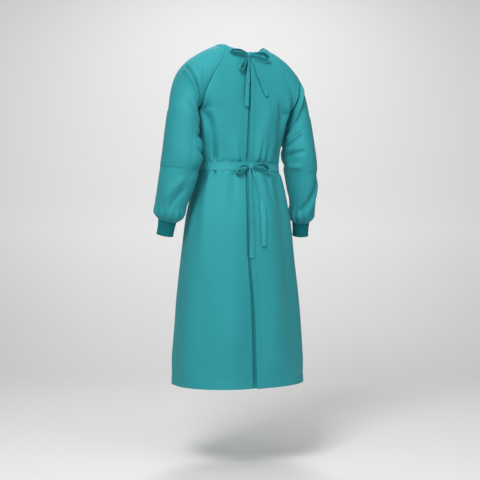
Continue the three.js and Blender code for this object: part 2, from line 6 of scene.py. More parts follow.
import bpy
import numpy as np
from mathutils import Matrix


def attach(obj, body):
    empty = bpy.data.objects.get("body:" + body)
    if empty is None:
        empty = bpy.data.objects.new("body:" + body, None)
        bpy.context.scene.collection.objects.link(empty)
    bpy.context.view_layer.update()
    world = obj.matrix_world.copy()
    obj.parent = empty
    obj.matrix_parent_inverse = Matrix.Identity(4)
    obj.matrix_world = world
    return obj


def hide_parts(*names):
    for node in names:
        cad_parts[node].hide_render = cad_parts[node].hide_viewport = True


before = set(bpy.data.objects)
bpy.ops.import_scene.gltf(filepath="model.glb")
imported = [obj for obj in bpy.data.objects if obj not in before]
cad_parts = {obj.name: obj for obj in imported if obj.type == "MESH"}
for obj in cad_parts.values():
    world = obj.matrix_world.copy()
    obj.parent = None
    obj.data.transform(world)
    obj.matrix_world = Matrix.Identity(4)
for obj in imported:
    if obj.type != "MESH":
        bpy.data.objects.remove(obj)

bl_info = {
    "name": "Surgical Gown Dresser",
    "version": (1, 0, 0),
    "blender": (4, 5, 0),
    "location": "3D View > Sidebar > Gown",
    "description": "Builds the cloth, seams, ties and stage of a worn surgical gown",
    "category": "Object",
}

MM = 0.001

# Levels of the gown, in millimetres below the shoulder line
UNDERARM = (190.0, 6.0, -252.0)
NECK_Z = {"back": -31.0, "front": -84.0}
WAIST_Z = -452.0
BELT_WIDTH = 30.0
HEM_Z = -1254.0
HEM_FOLD = 30.0
UNDER_REACH = 92.0
BINDING_LEVEL = 0.065
SQUARENESS = {"underarm": 3.6, "front": 2.4, "back": 2.15}
TIE_WIDTH = {"neck": 17.0, "waist": 20.0}
ELBOW_PATCH = {"start": 1.19, "end": 1.63, "turn": 0.555}
CUFF = {"start": 1.0, "length": 54.0, "top": 32.0, "foot": 29.0, "ribs": 44, "dx": 0.1, "dy": -0.25}
SIDES = (("left", 1), ("right", -1))

# Wall of the knit, the tapes and the binding, in millimetres
KNIT_THICK = 1.2
TAPE_THICK = 0.8
BINDING_THICK = 0.6

# Sewing: a row of stitches runs this far from its edge, counted on one row of a panel or a sleeve
STITCH_INSET = 7.0
SKIRT_ROW = 150
RAGLAN_ROW = 50

# Back opening: the right panel's edge stands off, and the left panel has a groove beside it
LAP_STAND = 2.6
LAP_GROOVE = 5.0

# How far one unit of a cloth coordinate reaches on the gown, in millimetres
ACROSS_MM = 240.0
TURN_MM = 190.0
RAGLAN_MM = 260.0
ARM_MM = 400.0


def named_rows(columns, values):
    """Rows of a table whose columns have names."""
    row = namedtuple("Row", columns)
    return [row(*value) for value in values]


class SizeTable:
    """A smooth curve through the rows of a size table, whose first column is the key."""

    def __init__(self, columns, rows):
        values = np.array(rows, float)
        self.names = columns.split()[1:]
        self.keys = values[:, 0]
        self.values = values[:, 1:]
        secant = np.diff(self.values, axis=0) / np.diff(self.keys)[:, None]
        self.slopes = np.vstack([secant[:1], (secant[:-1] + secant[1:]) / 2, secant[-1:]])

    def __call__(self, at):
        at = np.clip(np.asarray(at, float), self.keys[0], self.keys[-1])
        low = np.clip(np.searchsorted(self.keys, at, side="right") - 1, 0, len(self.keys) - 2)
        step = (self.keys[low + 1] - self.keys[low])[..., None]
        t = (at - self.keys[low])[..., None] / step
        found = self.values[low] * (2 * t**3 - 3 * t**2 + 1)
        found += self.slopes[low] * step * (t**3 - 2 * t**2 + t)
        found += self.values[low + 1] * (3 * t**2 - 2 * t**3)
        found += self.slopes[low + 1] * step * (t**3 - t**2)
        return {name: found[..., i] for i, name in enumerate(self.names)}


# Sections of the left sleeve from the neck (0) past the underarm (1) to the cuff seam (2)
SLEEVE = SizeTable(
    "at outer_x outer_z inner_x inner_z mid_y half_depth tilt wrap",
    [
        (0.0, 94, 0, 33, -58, 5, 56, 0.17, 70),
        (0.3, 158, -31, 62, -132, 2, 88, 0.1, 85),
        (0.6, 213, -69, 119, -188, 0, 95, 0.05, 101),
        (0.85, 250, -117, 164, -238, 3, 90, 0.02, 124),
        (1.0, 267, -167, 190, -252, 6, 83, 0, 180),
        (1.15, 282, -228, 192, -290, 14, 76, 0, 180),
        (1.35, 301, -328, 191, -352, 19, 74, 0.02, 180),
        (1.55, 314, -418, 198, -432, 20, 75, -0.02, 180),
        (1.72, 325, -503, 214, -512, 10, 66, -0.1, 180),
        (1.88, 330, -586, 235, -592, -4, 57, -0.2, 180),
        (1.96, 328, -628, 238, -635, -12, 52, -0.25, 180),
        (2.0, 317, -647, 251, -654, -16, 34, -0.25, 180),
    ],
)
SIDE = SizeTable(
    "drop half_width y",
    [
        (252, 190, 6),
        (275, 181, 5),
        (310, 174, 4),
        (360, 167, 2),
        (410, 161, 0),
        (452, 159, 0),
        (511, 174, 0),
        (571, 188, 0),
        (643, 203, 0),
        (760, 216, 0),
        (948, 231, 0),
        (1254, 252, 0),
    ],
)
FRONT_DEPTH = [
    (84, 90),
    (140, 106),
    (220, 116),
    (300, 115),
    (400, 110),
    (452, 104),
    (511, 118),
    (643, 142),
    (948, 170),
    (1254, 194),
]
BACK_DEPTH = [
    (31, 88),
    (80, 97),
    (130, 101),
    (200, 104),
    (300, 106),
    (400, 108),
    (452, 106),
    (511, 122),
    (643, 149),
    (948, 176),
    (1254, 199),
]
MIDDLE = {"front": SizeTable("drop depth", FRONT_DEPTH), "back": SizeTable("drop depth", BACK_DEPTH)}

# Free edge of the right back panel, and how the left panel dips to pass under it
LAP_EDGE = SizeTable(
    "drop x dip slope",
    [
        (0, 4, 3.4, 46),
        (150, 4, 3.4, 46),
        (380, 15, 3.4, 46),
        (452, 21, 3.4, 46),
        (570, 31, 3.6, 52),
        (780, 38, 6, 66),
        (950, 30, 11, 86),
        (1254, 31, 17, 104),
    ],
)

# Large soft folds, the same as the solids have
BODY_FOLDS = named_rows(
    "face side top across_top foot across_foot width height",
    [
        ("back", 1, -130, 0.82, -436, 0.61, 0.09, -8),
        ("back", 1, -190, 0.6, -436, 0.46, 0.11, 4),
        ("back", 1, -300, 0.3, -436, 0.2, 0.1, 4),
        ("back", -1, -130, 0.6, -436, 0.58, 0.11, -8),
        ("back", -1, -140, 0.32, -436, 0.13, 0.1, 5),
        ("back", -1, -330, 0.4, -436, 0.34, 0.1, 4),
        ("back", 1, -468, 0.66, -900, 0.74, 0.1, 7),
        ("back", 1, -468, 0.28, -760, 0.34, 0.1, -5),
        ("back", -1, -468, 0.18, -800, 0.16, 0.09, 5),
        ("back", -1, -468, 0.44, -1240, 0.33, 0.12, -8),
        ("front", 1, -200, 0.8, -436, 0.66, 0.12, -7),
        ("front", -1, -190, 0.82, -436, 0.68, 0.12, -7),
        ("front", 1, -280, 0.4, -436, 0.34, 0.09, 5),
        ("front", -1, -300, 0.36, -436, 0.28, 0.09, 5),
        ("front", 1, -468, 0.5, -980, 0.58, 0.11, 7),
        ("front", -1, -468, 0.56, -920, 0.62, 0.11, 7),
        ("front", 1, -468, 0.14, -800, 0.2, 0.1, -5),
    ],
)
SLEEVE_FOLDS = named_rows(
    "side at turn at_end turn_end width height",
    [
        (1, 0.8, -0.2, 0.97, -0.66, 0.1, 9),
        (-1, 0.78, -0.46, 1.08, -0.8, 0.1, 8),
        (1, 1.28, -0.8, 2.0, -0.8, 0.22, 22),
        (1, 1.44, -0.95, 1.58, -0.5, 0.12, 7),
        (-1, 1.36, -0.98, 1.5, -0.5, 0.12, 8),
        (1, 1.95, -0.1, 1.8, -0.36, 0.12, 5),
        (-1, 1.64, -0.3, 1.92, -0.92, 0.12, 7),
        (1, 1.4, 0.9, 1.52, 0.5, 0.12, 6),
        (-1, 1.42, 0.9, 1.54, 0.5, 0.12, 6),
    ],
)
GATHERS = {"count": 11, "height": 2.6, "start": 1.9}

# Creases listed for the body: a line from one point to another, in across and z.
# Bow bends the line and skew makes one flank steeper.
# Rise and fall are the shares of the line over which it comes and goes.
BODY_CREASES = named_rows(
    "face side across z across_end z_end bow width height skew rise fall",
    [
        # left back, above the belt
        ("back", 1, 0.61, -437, 0.63, -340, 2, 7, -6.0, 0.3, 0.04, 0.7),
        ("back", 1, 0.67, -437, 0.68, -330, 3, 8, 4.0, 0.2, 0.04, 0.8),
        ("back", 1, 0.55, -437, 0.53, -350, -2, 9, 2.2, 0.0, 0.04, 0.8),
        ("back", 1, 0.86, -186, 0.65, -340, -10, 15, -5.0, 0.2, 0.3, 0.4),
        ("back", 1, 0.92, -232, 0.84, -380, 6, 10, 3.0, -0.2, 0.3, 0.5),
        ("back", 1, 0.19, -437, 0.26, -372, 3, 6, 2.2, 0.3, 0.04, 0.8),
        ("back", 1, 0.15, -437, 0.2, -380, 2, 5, -2.2, 0.0, 0.04, 0.8),
        ("back", 1, 0.32, -437, 0.42, -330, -5, 9, 2.0, 0.2, 0.04, 0.8),
        ("back", 1, 0.4, -437, 0.46, -370, 3, 7, -1.8, 0.0, 0.04, 0.8),
        ("back", 1, 0.2, -92, 0.5, -190, -8, 16, 1.6, 0.2, 0.4, 0.6),
        ("back", 1, 0.1, -130, 0.22, -260, 6, 15, -1.4, 0.0, 0.4, 0.6),
        # left back, skirt
        ("back", 1, 0.615, -468, 0.655, -545, 3, 6, -5.4, 0.3, 0.03, 0.7),
        ("back", 1, 0.6, -468, 0.55, -535, -3, 5, -4.2, -0.3, 0.03, 0.7),
        ("back", 1, 0.61, -478, 0.61, -560, 0, 7, 3.6, 0.0, 0.2, 0.7),
        ("back", 1, 0.68, -474, 0.74, -700, -12, 16, 3.8, 0.35, 0.1, 0.6),
        ("back", 1, 0.78, -474, 0.84, -780, -8, 20, -4.6, 0.0, 0.1, 0.6),
        ("back", 1, 0.48, -468, 0.47, -600, 4, 10, -2.4, 0.2, 0.04, 0.8),
        ("back", 1, 0.4, -468, 0.39, -620, -4, 12, 2.4, 0.0, 0.04, 0.8),
        ("back", 1, 0.22, -468, 0.24, -570, 3, 8, 2.2, 0.2, 0.04, 0.8),
        ("back", 1, 0.28, -468, 0.31, -590, 3, 9, -2.2, 0.0, 0.04, 0.8),
        ("back", 1, 0.36, -760, 0.42, -1230, 16, 34, 5.0, 0.2, 0.5, 0.3),
        ("back", 1, 0.62, -820, 0.64, -1250, -10, 36, -3.6, 0.0, 0.5, 0.2),
        ("back", 1, 0.86, -700, 0.88, -1250, 8, 34, 4.0, 0.0, 0.5, 0.2),
        # right back, above the belt
        ("back", -1, 0.54, -160, 0.53, -360, -8, 18, -5.0, 0.2, 0.4, 0.5),
        ("back", -1, 0.7, -150, 0.69, -320, 4, 15, 4.0, 0.0, 0.4, 0.5),
        ("back", -1, 0.58, -437, 0.6, -350, 3, 8, -3.4, 0.2, 0.04, 0.8),
        ("back", -1, 0.5, -437, 0.48, -360, -3, 8, 2.6, 0.0, 0.04, 0.8),
        ("back", -1, 0.08, -437, 0.13, -300, -5, 8, 2.6, 0.3, 0.04, 0.8),
        ("back", -1, 0.14, -437, 0.2, -350, 3, 6, -2.4, 0.0, 0.04, 0.8),
        ("back", -1, 0.2, -437, 0.27, -345, 3, 7, 2.4, 0.2, 0.04, 0.8),
        ("back", -1, 0.27, -437, 0.34, -350, 3, 7, -2.0, 0.0, 0.04, 0.8),
        ("back", -1, 0.74, -437, 0.8, -330, 5, 9, 2.6, 0.0, 0.04, 0.8),
        ("back", -1, 0.92, -236, 0.78, -370, 6, 11, 3.0, 0.2, 0.3, 0.5),
        ("back", -1, 0.16, -90, 0.4, -180, 8, 15, 1.5, 0.0, 0.4, 0.6),
        # right back, skirt
        ("back", -1, 0.1, -468, 0.1, -640, 4, 10, 2.8, 0.2, 0.04, 0.8),
        ("back", -1, 0.2, -468, 0.22, -620, 4, 9, -2.6, 0.0, 0.04, 0.8),
        ("back", -1, 0.32, -468, 0.34, -660, -5, 12, 2.8, 0.0, 0.04, 0.8),
        ("back", -1, 0.56, -468, 0.6, -640, 5, 11, 2.8, 0.2, 0.04, 0.8),
        ("back", -1, 0.66, -468, 0.72, -620, 5, 10, -2.6, 0.0, 0.04, 0.8),
        ("back", -1, 0.78, -468, 0.84, -700, 6, 13, 3.0, 0.0, 0.04, 0.7),
        ("back", -1, 0.5, -660, 0.42, -1250, 12, 34, -4.6, 0.0, 0.4, 0.2),
        ("back", -1, 0.2, -800, 0.14, -1250, -8, 32, 4.0, 0.0, 0.5, 0.2),
        ("back", -1, 0.74, -760, 0.7, -1250, 8, 36, 4.6, 0.2, 0.5, 0.2),
        # front, above the belt
        ("front", 1, 0.88, -240, 0.62, -340, -10, 12, -3.4, 0.2, 0.2, 0.5),
        ("front", -1, 0.9, -236, 0.66, -350, 10, 13, -3.4, 0.2, 0.2, 0.5),
        ("front", 1, 0.94, -236, 0.8, -390, 6, 10, 3.0, 0.0, 0.3, 0.5),
        ("front", -1, 0.93, -240, 0.82, -370, 6, 11, 3.2, 0.0, 0.3, 0.5),
        ("front", 1, 0.24, -437, 0.3, -340, 4, 9, 2.4, 0.2, 0.04, 0.8),
        ("front", -1, 0.18, -437, 0.2, -350, -4, 9, -2.2, 0.0, 0.04, 0.8),
        ("front", 1, 0.5, -437, 0.58, -330, 5, 8, -3.0, 0.2, 0.04, 0.8),
        ("front", -1, 0.52, -437, 0.6, -320, 5, 9, 2.8, 0.2, 0.04, 0.8),
        ("front", 1, 0.05, -437, 0.08, -360, 2, 8, 2.2, 0.0, 0.04, 0.8),
        ("front", -1, 0.4, -437, 0.42, -360, 3, 8, -2.4, 0.0, 0.04, 0.8),
        ("front", 1, 0.35, -120, 0.2, -240, 8, 18, -1.8, 0.0, 0.4, 0.6),
        ("front", -1, 0.4, -120, 0.22, -230, -8, 18, -1.8, 0.0, 0.4, 0.6),
        # front, skirt
        ("front", 1, 0.08, -468, 0.1, -640, 4, 11, 2.8, 0.0, 0.04, 0.8),
        ("front", -1, 0.1, -468, 0.12, -620, -4, 10, -2.8, 0.0, 0.04, 0.8),
        ("front", 1, 0.32, -468, 0.36, -660, 6, 11, 3.0, 0.2, 0.04, 0.8),
        ("front", -1, 0.36, -468, 0.38, -700, -6, 12, 3.2, 0.2, 0.04, 0.8),
        ("front", 1, 0.64, -468, 0.7, -690, 6, 12, -3.2, 0.0, 0.04, 0.8),
        ("front", -1, 0.7, -468, 0.76, -660, 6, 11, -3.0, 0.0, 0.04, 0.8),
        ("front", 1, 0.4, -700, 0.36, -1250, 14, 36, -4.6, 0.0, 0.4, 0.2),
        ("front", -1, 0.3, -760, 0.34, -1250, -12, 36, 4.4, 0.0, 0.4, 0.2),
        ("front", 1, 0.78, -720, 0.8, -1250, 8, 34, 4.4, 0.0, 0.5, 0.2),
        ("front", -1, 0.72, -800, 0.76, -1250, 8, 36, -4.2, 0.0, 0.5, 0.2),
        ("front", 1, 0.08, -820, 0.06, -1250, 6, 34, 3.6, 0.0, 0.5, 0.2),
    ],
)

# Creases of the sleeves, in section (at) and turn
SLEEVE_CREASES = named_rows(
    "side at turn at_end turn_end bow width height skew rise fall",
    [
        # left sleeve, where it leaves the shoulder
        (1, 0.72, -0.06, 0.93, -0.8, -10, 7, -11.2, 0.35, 0.15, 0.2),
        (1, 0.8, -0.1, 1.02, -0.74, -10, 9, 7.5, -0.3, 0.2, 0.3),
        (1, 0.55, -0.5, 0.86, -0.82, 6, 12, 3.6, 0.0, 0.4, 0.4),
        (1, 0.4, 0.2, 0.82, 0.5, 8, 18, 3.6, 0.0, 0.4, 0.4),
        (1, 0.8, 0.3, 0.98, 0.8, 8, 11, -6.0, 0.2, 0.3, 0.4),
        # left sleeve, upper arm and elbow
        (1, 1.04, -0.5, 1.2, -0.98, 6, 12, 5.1, 0.0, 0.3, 0.4),
        (1, 1.1, -0.3, 1.18, -0.8, -6, 10, -4.2, 0.0, 0.3, 0.4),
        (1, 1.32, -1.02, 1.4, -0.58, 6, 10, -6.0, 0.2, 0.2, 0.5),
        (1, 1.5, -1.02, 1.46, -0.56, -6, 9, -6.6, 0.2, 0.2, 0.5),
        (1, 1.6, -1.0, 1.68, -0.5, 6, 12, -5.4, 0.0, 0.2, 0.5),
        (1, 1.38, 1.0, 1.44, 0.54, 6, 9, -5.4, 0.2, 0.2, 0.5),
        (1, 1.56, 1.0, 1.6, 0.5, -6, 10, -5.1, 0.0, 0.2, 0.5),
        # left sleeve, forearm
        (1, 1.68, -0.6, 1.9, -0.16, 8, 12, 4.8, 0.2, 0.3, 0.3),
        (1, 1.74, -0.66, 1.92, -0.36, 6, 9, -4.5, 0.0, 0.3, 0.3),
        (1, 1.72, 0.6, 1.9, 0.2, 6, 12, 4.5, 0.0, 0.3, 0.3),
        (1, 1.8, 0.9, 1.93, 0.6, 6, 10, -4.8, 0.0, 0.3, 0.3),
        # right sleeve, where it leaves the shoulder
        (-1, 0.72, -0.36, 1.02, -0.88, -8, 7, -9.6, 0.3, 0.15, 0.2),
        (-1, 0.82, -0.36, 1.12, -0.74, -8, 10, 5.7, -0.2, 0.3, 0.4),
        (-1, 0.5, 0.16, 0.86, 0.46, 8, 18, 3.6, 0.0, 0.4, 0.4),
        (-1, 0.8, 0.3, 0.98, 0.78, 8, 11, -6.0, 0.2, 0.3, 0.4),
        # right sleeve, upper arm and elbow
        (-1, 1.08, -0.55, 1.2, -0.98, 6, 10, -5.4, 0.2, 0.3, 0.4),
        (-1, 1.2, -0.6, 1.3, -1.02, 6, 9, 5.4, 0.2, 0.3, 0.3),
        (-1, 1.28, -0.56, 1.4, -1.02, 6, 8, -6.0, 0.2, 0.3, 0.3),
        (-1, 1.46, -0.52, 1.5, -1.02, -6, 9, -6.0, 0.0, 0.3, 0.3),
        (-1, 1.58, -0.6, 1.56, -1.02, 4, 9, 4.8, 0.0, 0.3, 0.3),
        (-1, 1.34, 1.0, 1.42, 0.52, 6, 9, -5.4, 0.2, 0.2, 0.5),
        (-1, 1.54, 1.0, 1.6, 0.54, -6, 10, -5.1, 0.0, 0.2, 0.5),
        # right sleeve, forearm
        (-1, 1.6, -0.22, 1.93, -0.84, 14, 9, -6.3, 0.3, 0.2, 0.2),
        (-1, 1.66, -0.2, 1.95, -0.7, 14, 10, 5.1, 0.0, 0.2, 0.2),
        (-1, 1.7, 0.5, 1.9, 0.16, 6, 12, 4.5, 0.0, 0.3, 0.3),
        (-1, 1.78, 0.86, 1.93, 0.56, 6, 10, -4.8, 0.0, 0.3, 0.3),
    ],
)

# Bows: knots, loops to their tips, and hanging tails
KNOTS = {
    "neck": {"x": 7.0, "z": -44.0, "lift": 1.85, "half": (8.0, 6.0, 8.0)},
    "waist": {"x": 9.0, "z": -455.0, "lift": 2.6, "half": (10.0, 7.0, 11.0)},
}
LOOPS = named_rows(
    "name knot tip_x tip_z root_angle gap open sag lean flat_length",
    [
        ("neck_loop_upper_left", "neck", 80, -40, 24, 0.35, 9, -3, 0.2, 0.15),
        ("neck_loop_lower_left", "neck", 52, -104, -16, 1.45, 18, 0, 0.3, 0.155),
        ("neck_loop_right", "neck", -72, -57, 0, 0.1, 20, -4, 0.45, 0.165),
        ("waist_loop_left", "waist", 66, -480, 0, 0.7, 17, -5, 0.4, 0.135),
        ("waist_loop_right", "waist", -58, -472, 0, 0.15, 19, -6, 0.4, 0.145),
    ],
)
TAILS = named_rows(
    "name knot root_angle gap mid_x mid_z end_x end_z twist narrow_to flat_from flat_length",
    [
        ("neck_tail_left", "neck", 14, 1.85, 18, -140, 25, -233, 0.15, 0.02, 0.45, 0.185),
        ("neck_tail_right", "neck", -34, 1.5, -28, -112, -62, -190, 0.25, 0.02, 0.45, 0.165),
        ("waist_tail_left", "waist", 26, 2.7, 25, -600, 34, -786, 0.35, 0.05, 0.5, 0.33),
        ("waist_tail_right", "waist", -26, 2.5, -19, -585, -17, -746, -0.2, 0.36, 0.52, 0.29),
    ],
)
LOOP_BOW = 4.0
TAIL_LIFT = 5.4
TAIL_ROWS = 96

# Section of the neck binding from its inner edge over the fold to its outer edge
BINDING_PROFILE = named_rows(
    "level lift",
    [
        (0.05, -0.9),
        (0.03, -1.0),
        (0.012, -1.1),
        (0.0, -0.9),
        (-0.006, -0.3),
        (-0.006, 0.5),
        (0.0, 1.2),
        (0.012, 1.5),
        (0.03, 1.45),
        (0.05, 1.4),
        (0.06, 1.2),
        (BINDING_LEVEL, 0.9),
    ],
)
BINDING_LEAF_ROW = 9
BINDING_STITCH_ROW = 10

# Stage, in metres: the paper sweep, and where each light stands from the gown's axis
SWEEP = {"front": 6.0, "bend": -2.2, "radius": 1.2, "top": 5.0, "half_width": 8.0}
LIGHTS = named_rows(
    "name back right up size color",
    [
        ("key", 2.9, -0.9, 1.9, 1.3, (1, 0.99, 0.97)),
        ("fill", 2.6, 2.4, 0.1, 2.4, (0.97, 0.99, 1)),
        ("top", 1.5, -0.3, 2.0, 2.4, (1, 1, 1)),
        ("front", -2.2, 0.0, 2.2, 1.6, (1, 1, 1)),
    ],
)
LIGHT_TARGET = (0, 0, -0.6)
CAMERA = {"lens": 75, "sensor": 36, "aside": 0.0056}


def ease(value, low, high):
    """A soft step from 0 at low to 1 at high."""
    t = np.clip((np.asarray(value, float) - low) / (high - low), 0, 1)
    return t * t * (3 - 2 * t)


def bell(value, middle, width):
    """A soft hump: 1 at the middle, falling away over the width to each side."""
    return np.exp(-(((value - middle) / width) ** 2))


def mix(a, b, share):
    """The value a share of the way from a to b."""
    return a + (b - a) * share


def unit(vectors):
    """Vectors of length 1 in the same directions."""
    return vectors / np.maximum(np.linalg.norm(vectors, axis=-1, keepdims=True), 1e-9)


def crease_height(rows, u, v):
    """Sum of soft uneven ridges and troughs at cloth coordinates u and v, in millimetres."""
    total = np.zeros(np.broadcast(u, v).shape)
    for start, end, row in rows:
        length = math.dist(start, end)
        along = ((end[0] - start[0]) / length, (end[1] - start[1]) / length)
        reach = ((u - start[0]) * along[0] + (v - start[1]) * along[1]) / length
        share = np.clip(reach, 0, 1)
        off = (u - start[0]) * along[1] - (v - start[1]) * along[0] - row.bow * 4 * share * (1 - share)
        width = row.width * np.where(off > 0, 1 + row.skew, 1 - row.skew) * (0.8 + 0.5 * share)
        come_and_go = ease(reach, 0, row.rise) * (1 - ease(reach, 1 - row.fall, 1))
        total += row.height * come_and_go * bell(off, 0, width)
    return total


def swell(u, v, turn):
    """The slight uneven swell of hanging cloth."""
    wave = np.sin(u / 37 + 1.7 * np.sin(v / 83 + turn)) * np.sin(v / 141 + turn)
    return 0.5 * wave + 0.25 * np.sin(u / 19 + v / 61 + 2 * turn)


def sleeve_length(at):
    """Distance down the sleeve from the neck, in millimetres."""
    at = np.asarray(at, float)
    return np.minimum(at, 1) * RAGLAN_MM + np.maximum(at - 1, 0) * ARM_MM


def sleeve_fold_height(side, at, turn):
    """Height of the sleeve's large folds and of the gathers above its cuff."""
    total = np.zeros(np.broadcast(at, turn).shape)
    for fold in SLEEVE_FOLDS:
        if fold.side != side:
            continue
        along = (fold.at_end - fold.at, fold.turn_end - fold.turn)
        squared = along[0] ** 2 + along[1] ** 2
        best = np.zeros_like(total)
        for shift in (-2, 0, 2):
            here = (at - fold.at, turn + shift - fold.turn)
            share = np.clip((here[0] * along[0] + here[1] * along[1]) / squared, 0, 1)
            off = np.hypot(here[0] - along[0] * share, here[1] - along[1] * share)
            part = bell(off, 0, fold.width) * (0.4 + 0.6 * np.sin(np.pi * share))
            best = np.maximum(best, np.where((shift == 0) | (at > 1), part, 0))
        total += fold.height * best
    seam_fade = 1 - ease(np.abs(turn), 0.9, 1) * (1 - ease(at, 1, 1.1))
    seam_fade = np.where(at < 1, 1 - np.abs(turn) ** 4, seam_fade)
    gather = GATHERS["height"] * np.cos(np.pi * GATHERS["count"] * turn)
    gather_share = ease(at, GATHERS["start"], 1.965) * (1 - 0.6 * ease(at, 1.975, 2))
    return total * seam_fade * (1 - ease(at, 1.93, 2)) + gather * gather_share


def sleeve_crease_height(side, at, turn, strength):
    """Height of the sleeve's listed creases and fine gathers."""
    u = turn * TURN_MM
    v = sleeve_length(at)
    lines = []
    for row in SLEEVE_CREASES:
        if row.side != side:
            continue
        start = (row.turn * TURN_MM, float(sleeve_length(row.at)))
        end = (row.turn_end * TURN_MM, float(sleeve_length(row.at_end)))
        lines.append((start, end, row))
    seam_fade = np.where(at < 1, 1 - ease(np.abs(turn), 0.86, 1), 1 - ease(np.abs(turn), 0.96, 1))
    total = crease_height(lines, u, v) * seam_fade * (1 - ease(at, 1.93, 1.99))
    total += swell(u, v, side) * (1 - ease(np.abs(turn), 0.9, 1)) * (1 - ease(at, 1.9, 2))
    fine = np.sin(24 * np.pi * turn + 1.5 * np.sin(9 * turn + side)) * (0.6 + 0.4 * np.sin(5 * turn))
    total += 1.5 * fine * ease(at, 1.88, 1.98) * (1 - ease(np.abs(turn), 0.96, 1))
    deep = np.sin(13 * np.pi * turn + 2 * np.sin(4 * turn + 2 * side))
    deep = 2.2 * deep * (0.6 + 0.5 * np.sin(3 * turn + side))
    total += deep * ease(at, 1.8, 1.94) * (1 - ease(at, 1.96, 2)) * (1 - ease(np.abs(turn), 0.94, 1))
    return strength * total


def sleeve_points(side, at, turn, strength=0.0):
    """Points of a sleeve (side 1 left, -1 right); turn runs from -1 at the back seam to 1 at the front."""
    at, turn = np.broadcast_arrays(np.asarray(at, float), np.asarray(turn, float))
    size = SLEEVE(at)
    angle = np.radians(size["wrap"]) * turn
    half_x = (size["outer_x"] - size["inner_x"]) / 2
    half_z = (size["outer_z"] - size["inner_z"]) / 2
    out = np.stack(
        [
            half_x * np.cos(angle),
            -size["half_depth"] * np.sin(angle),
            half_z * np.cos(angle) - size["tilt"] * size["half_depth"] * np.sin(angle),
        ],
        -1,
    )
    centre = np.stack([size["inner_x"] + half_x, size["mid_y"], size["inner_z"] + half_z], -1)
    height = sleeve_fold_height(side, at, turn)
    if strength:
        height = height + sleeve_crease_height(side, at, turn, strength)
    point = centre + out + unit(out) * height[..., None]
    return point * np.array([side, 1, 1])


def level_at_drop(drop):
    """Level of the body at a drop below the shoulder line."""
    return 1 + (drop + UNDERARM[2]) / (UNDERARM[2] - HEM_Z)


def drop_at_level(face, level):
    """Drop of the body's middle line at a level."""
    raglan = mix(-NECK_Z[face], -UNDERARM[2], np.minimum(level, 1))
    return np.where(level <= 1, raglan, mix(-UNDERARM[2], -HEM_Z, level - 1))


def body_fold_height(face, side, z, share):
    """Height of the body's large folds."""
    total = np.zeros_like(z)
    for fold in BODY_FOLDS:
        if fold.face != face:
            continue
        down = (z - fold.top) / (fold.foot - fold.top)
        line = mix(fold.across_top, fold.across_foot, down)
        from_belt = 1 - down if fold.top > WAIST_Z - BELT_WIDTH / 2 else down
        fade = ease(from_belt, 0, 0.06) * (1 - ease(from_belt, 0.45, 1))
        within = (down > 0) & (down < 1) & (side == fold.side)
        total += np.where(within, fold.height * fade * bell(share, line, fold.width), 0)
    return total


def clear_of_belt(z, reach):
    """1 away from the belt and 0 under it."""
    return 1 - np.exp(-(((z - WAIST_Z) / reach) ** 4))


def body_crease_height(face, across, z, strength):
    """Height of the body's listed creases."""
    u = across * ACROSS_MM
    lines = []
    for row in BODY_CREASES:
        if row.face != face:
            continue
        start = (row.side * row.across * ACROSS_MM, row.z)
        end = (row.side * row.across_end * ACROSS_MM, row.z_end)
        lines.append((start, end, row))
    at_belt = clear_of_belt(z, 18)
    at_neck = ease(-z, 40, 90)
    at_side = 1 - ease(np.abs(across), 0.93, 1)
    total = crease_height(lines, u, z) + swell(u, z, 1 if face == "back" else 3)
    return strength * total * at_belt * at_neck * at_side


def body_points(face, level, across, strength=0.0):
    """Points of the front or back; across runs from -1 at the right seam through 0 to 1 at the left."""
    level, across = np.broadcast_arrays(np.asarray(level, float), np.asarray(across, float))
    side = np.where(across < 0, -1, 1)
    sign = 1 if face == "back" else -1
    share = np.abs(across)
    drop = drop_at_level(face, level)
    raglan = sleeve_points(1, np.minimum(level, 1), -sign)
    seam = SIDE(drop)
    edge_x = side * np.where(level <= 1, raglan[..., 0], seam["half_width"])
    edge_y = np.where(level <= 1, raglan[..., 1], seam["y"])
    edge_z = np.where(level <= 1, raglan[..., 2], -drop)
    depth = sign * MIDDLE[face](drop)["depth"]
    rounding = ease(level, 0.3, 1)
    square = mix(SQUARENESS["underarm"], SQUARENESS[face], ease(level, 1, 1.16))
    width = mix(share, np.sin(np.pi / 2 * share), rounding)
    crown = np.maximum(0, 1 - width ** mix(2.2, square, rounding)) ** (1 / mix(1, square, rounding))
    x = edge_x * width
    y = mix(edge_y, depth, crown)
    z = mix(edge_z, -drop, 1 - width * width)
    height = body_fold_height(face, side, z, share) * (1 - share**6)
    if strength:
        height = height + body_crease_height(face, across, z, strength)
    out = unit(np.stack([x / edge_x**2, (y - edge_y) / depth**2, np.zeros_like(x)], -1))
    return np.stack([x, y, z], -1) + out * height[..., None]


def across_at(level, x):
    """How far across the back lies a distance x from the middle."""
    level, x = np.broadcast_arrays(np.asarray(level, float), np.asarray(x, float))
    low = np.full(level.shape, -1.0)
    high = np.full(level.shape, 1.0)
    for _ in range(22):
        middle = (low + high) / 2
        less = body_points("back", level, middle)[..., 0] < x
        low = np.where(less, middle, low)
        high = np.where(less, high, middle)
    return (low + high) / 2


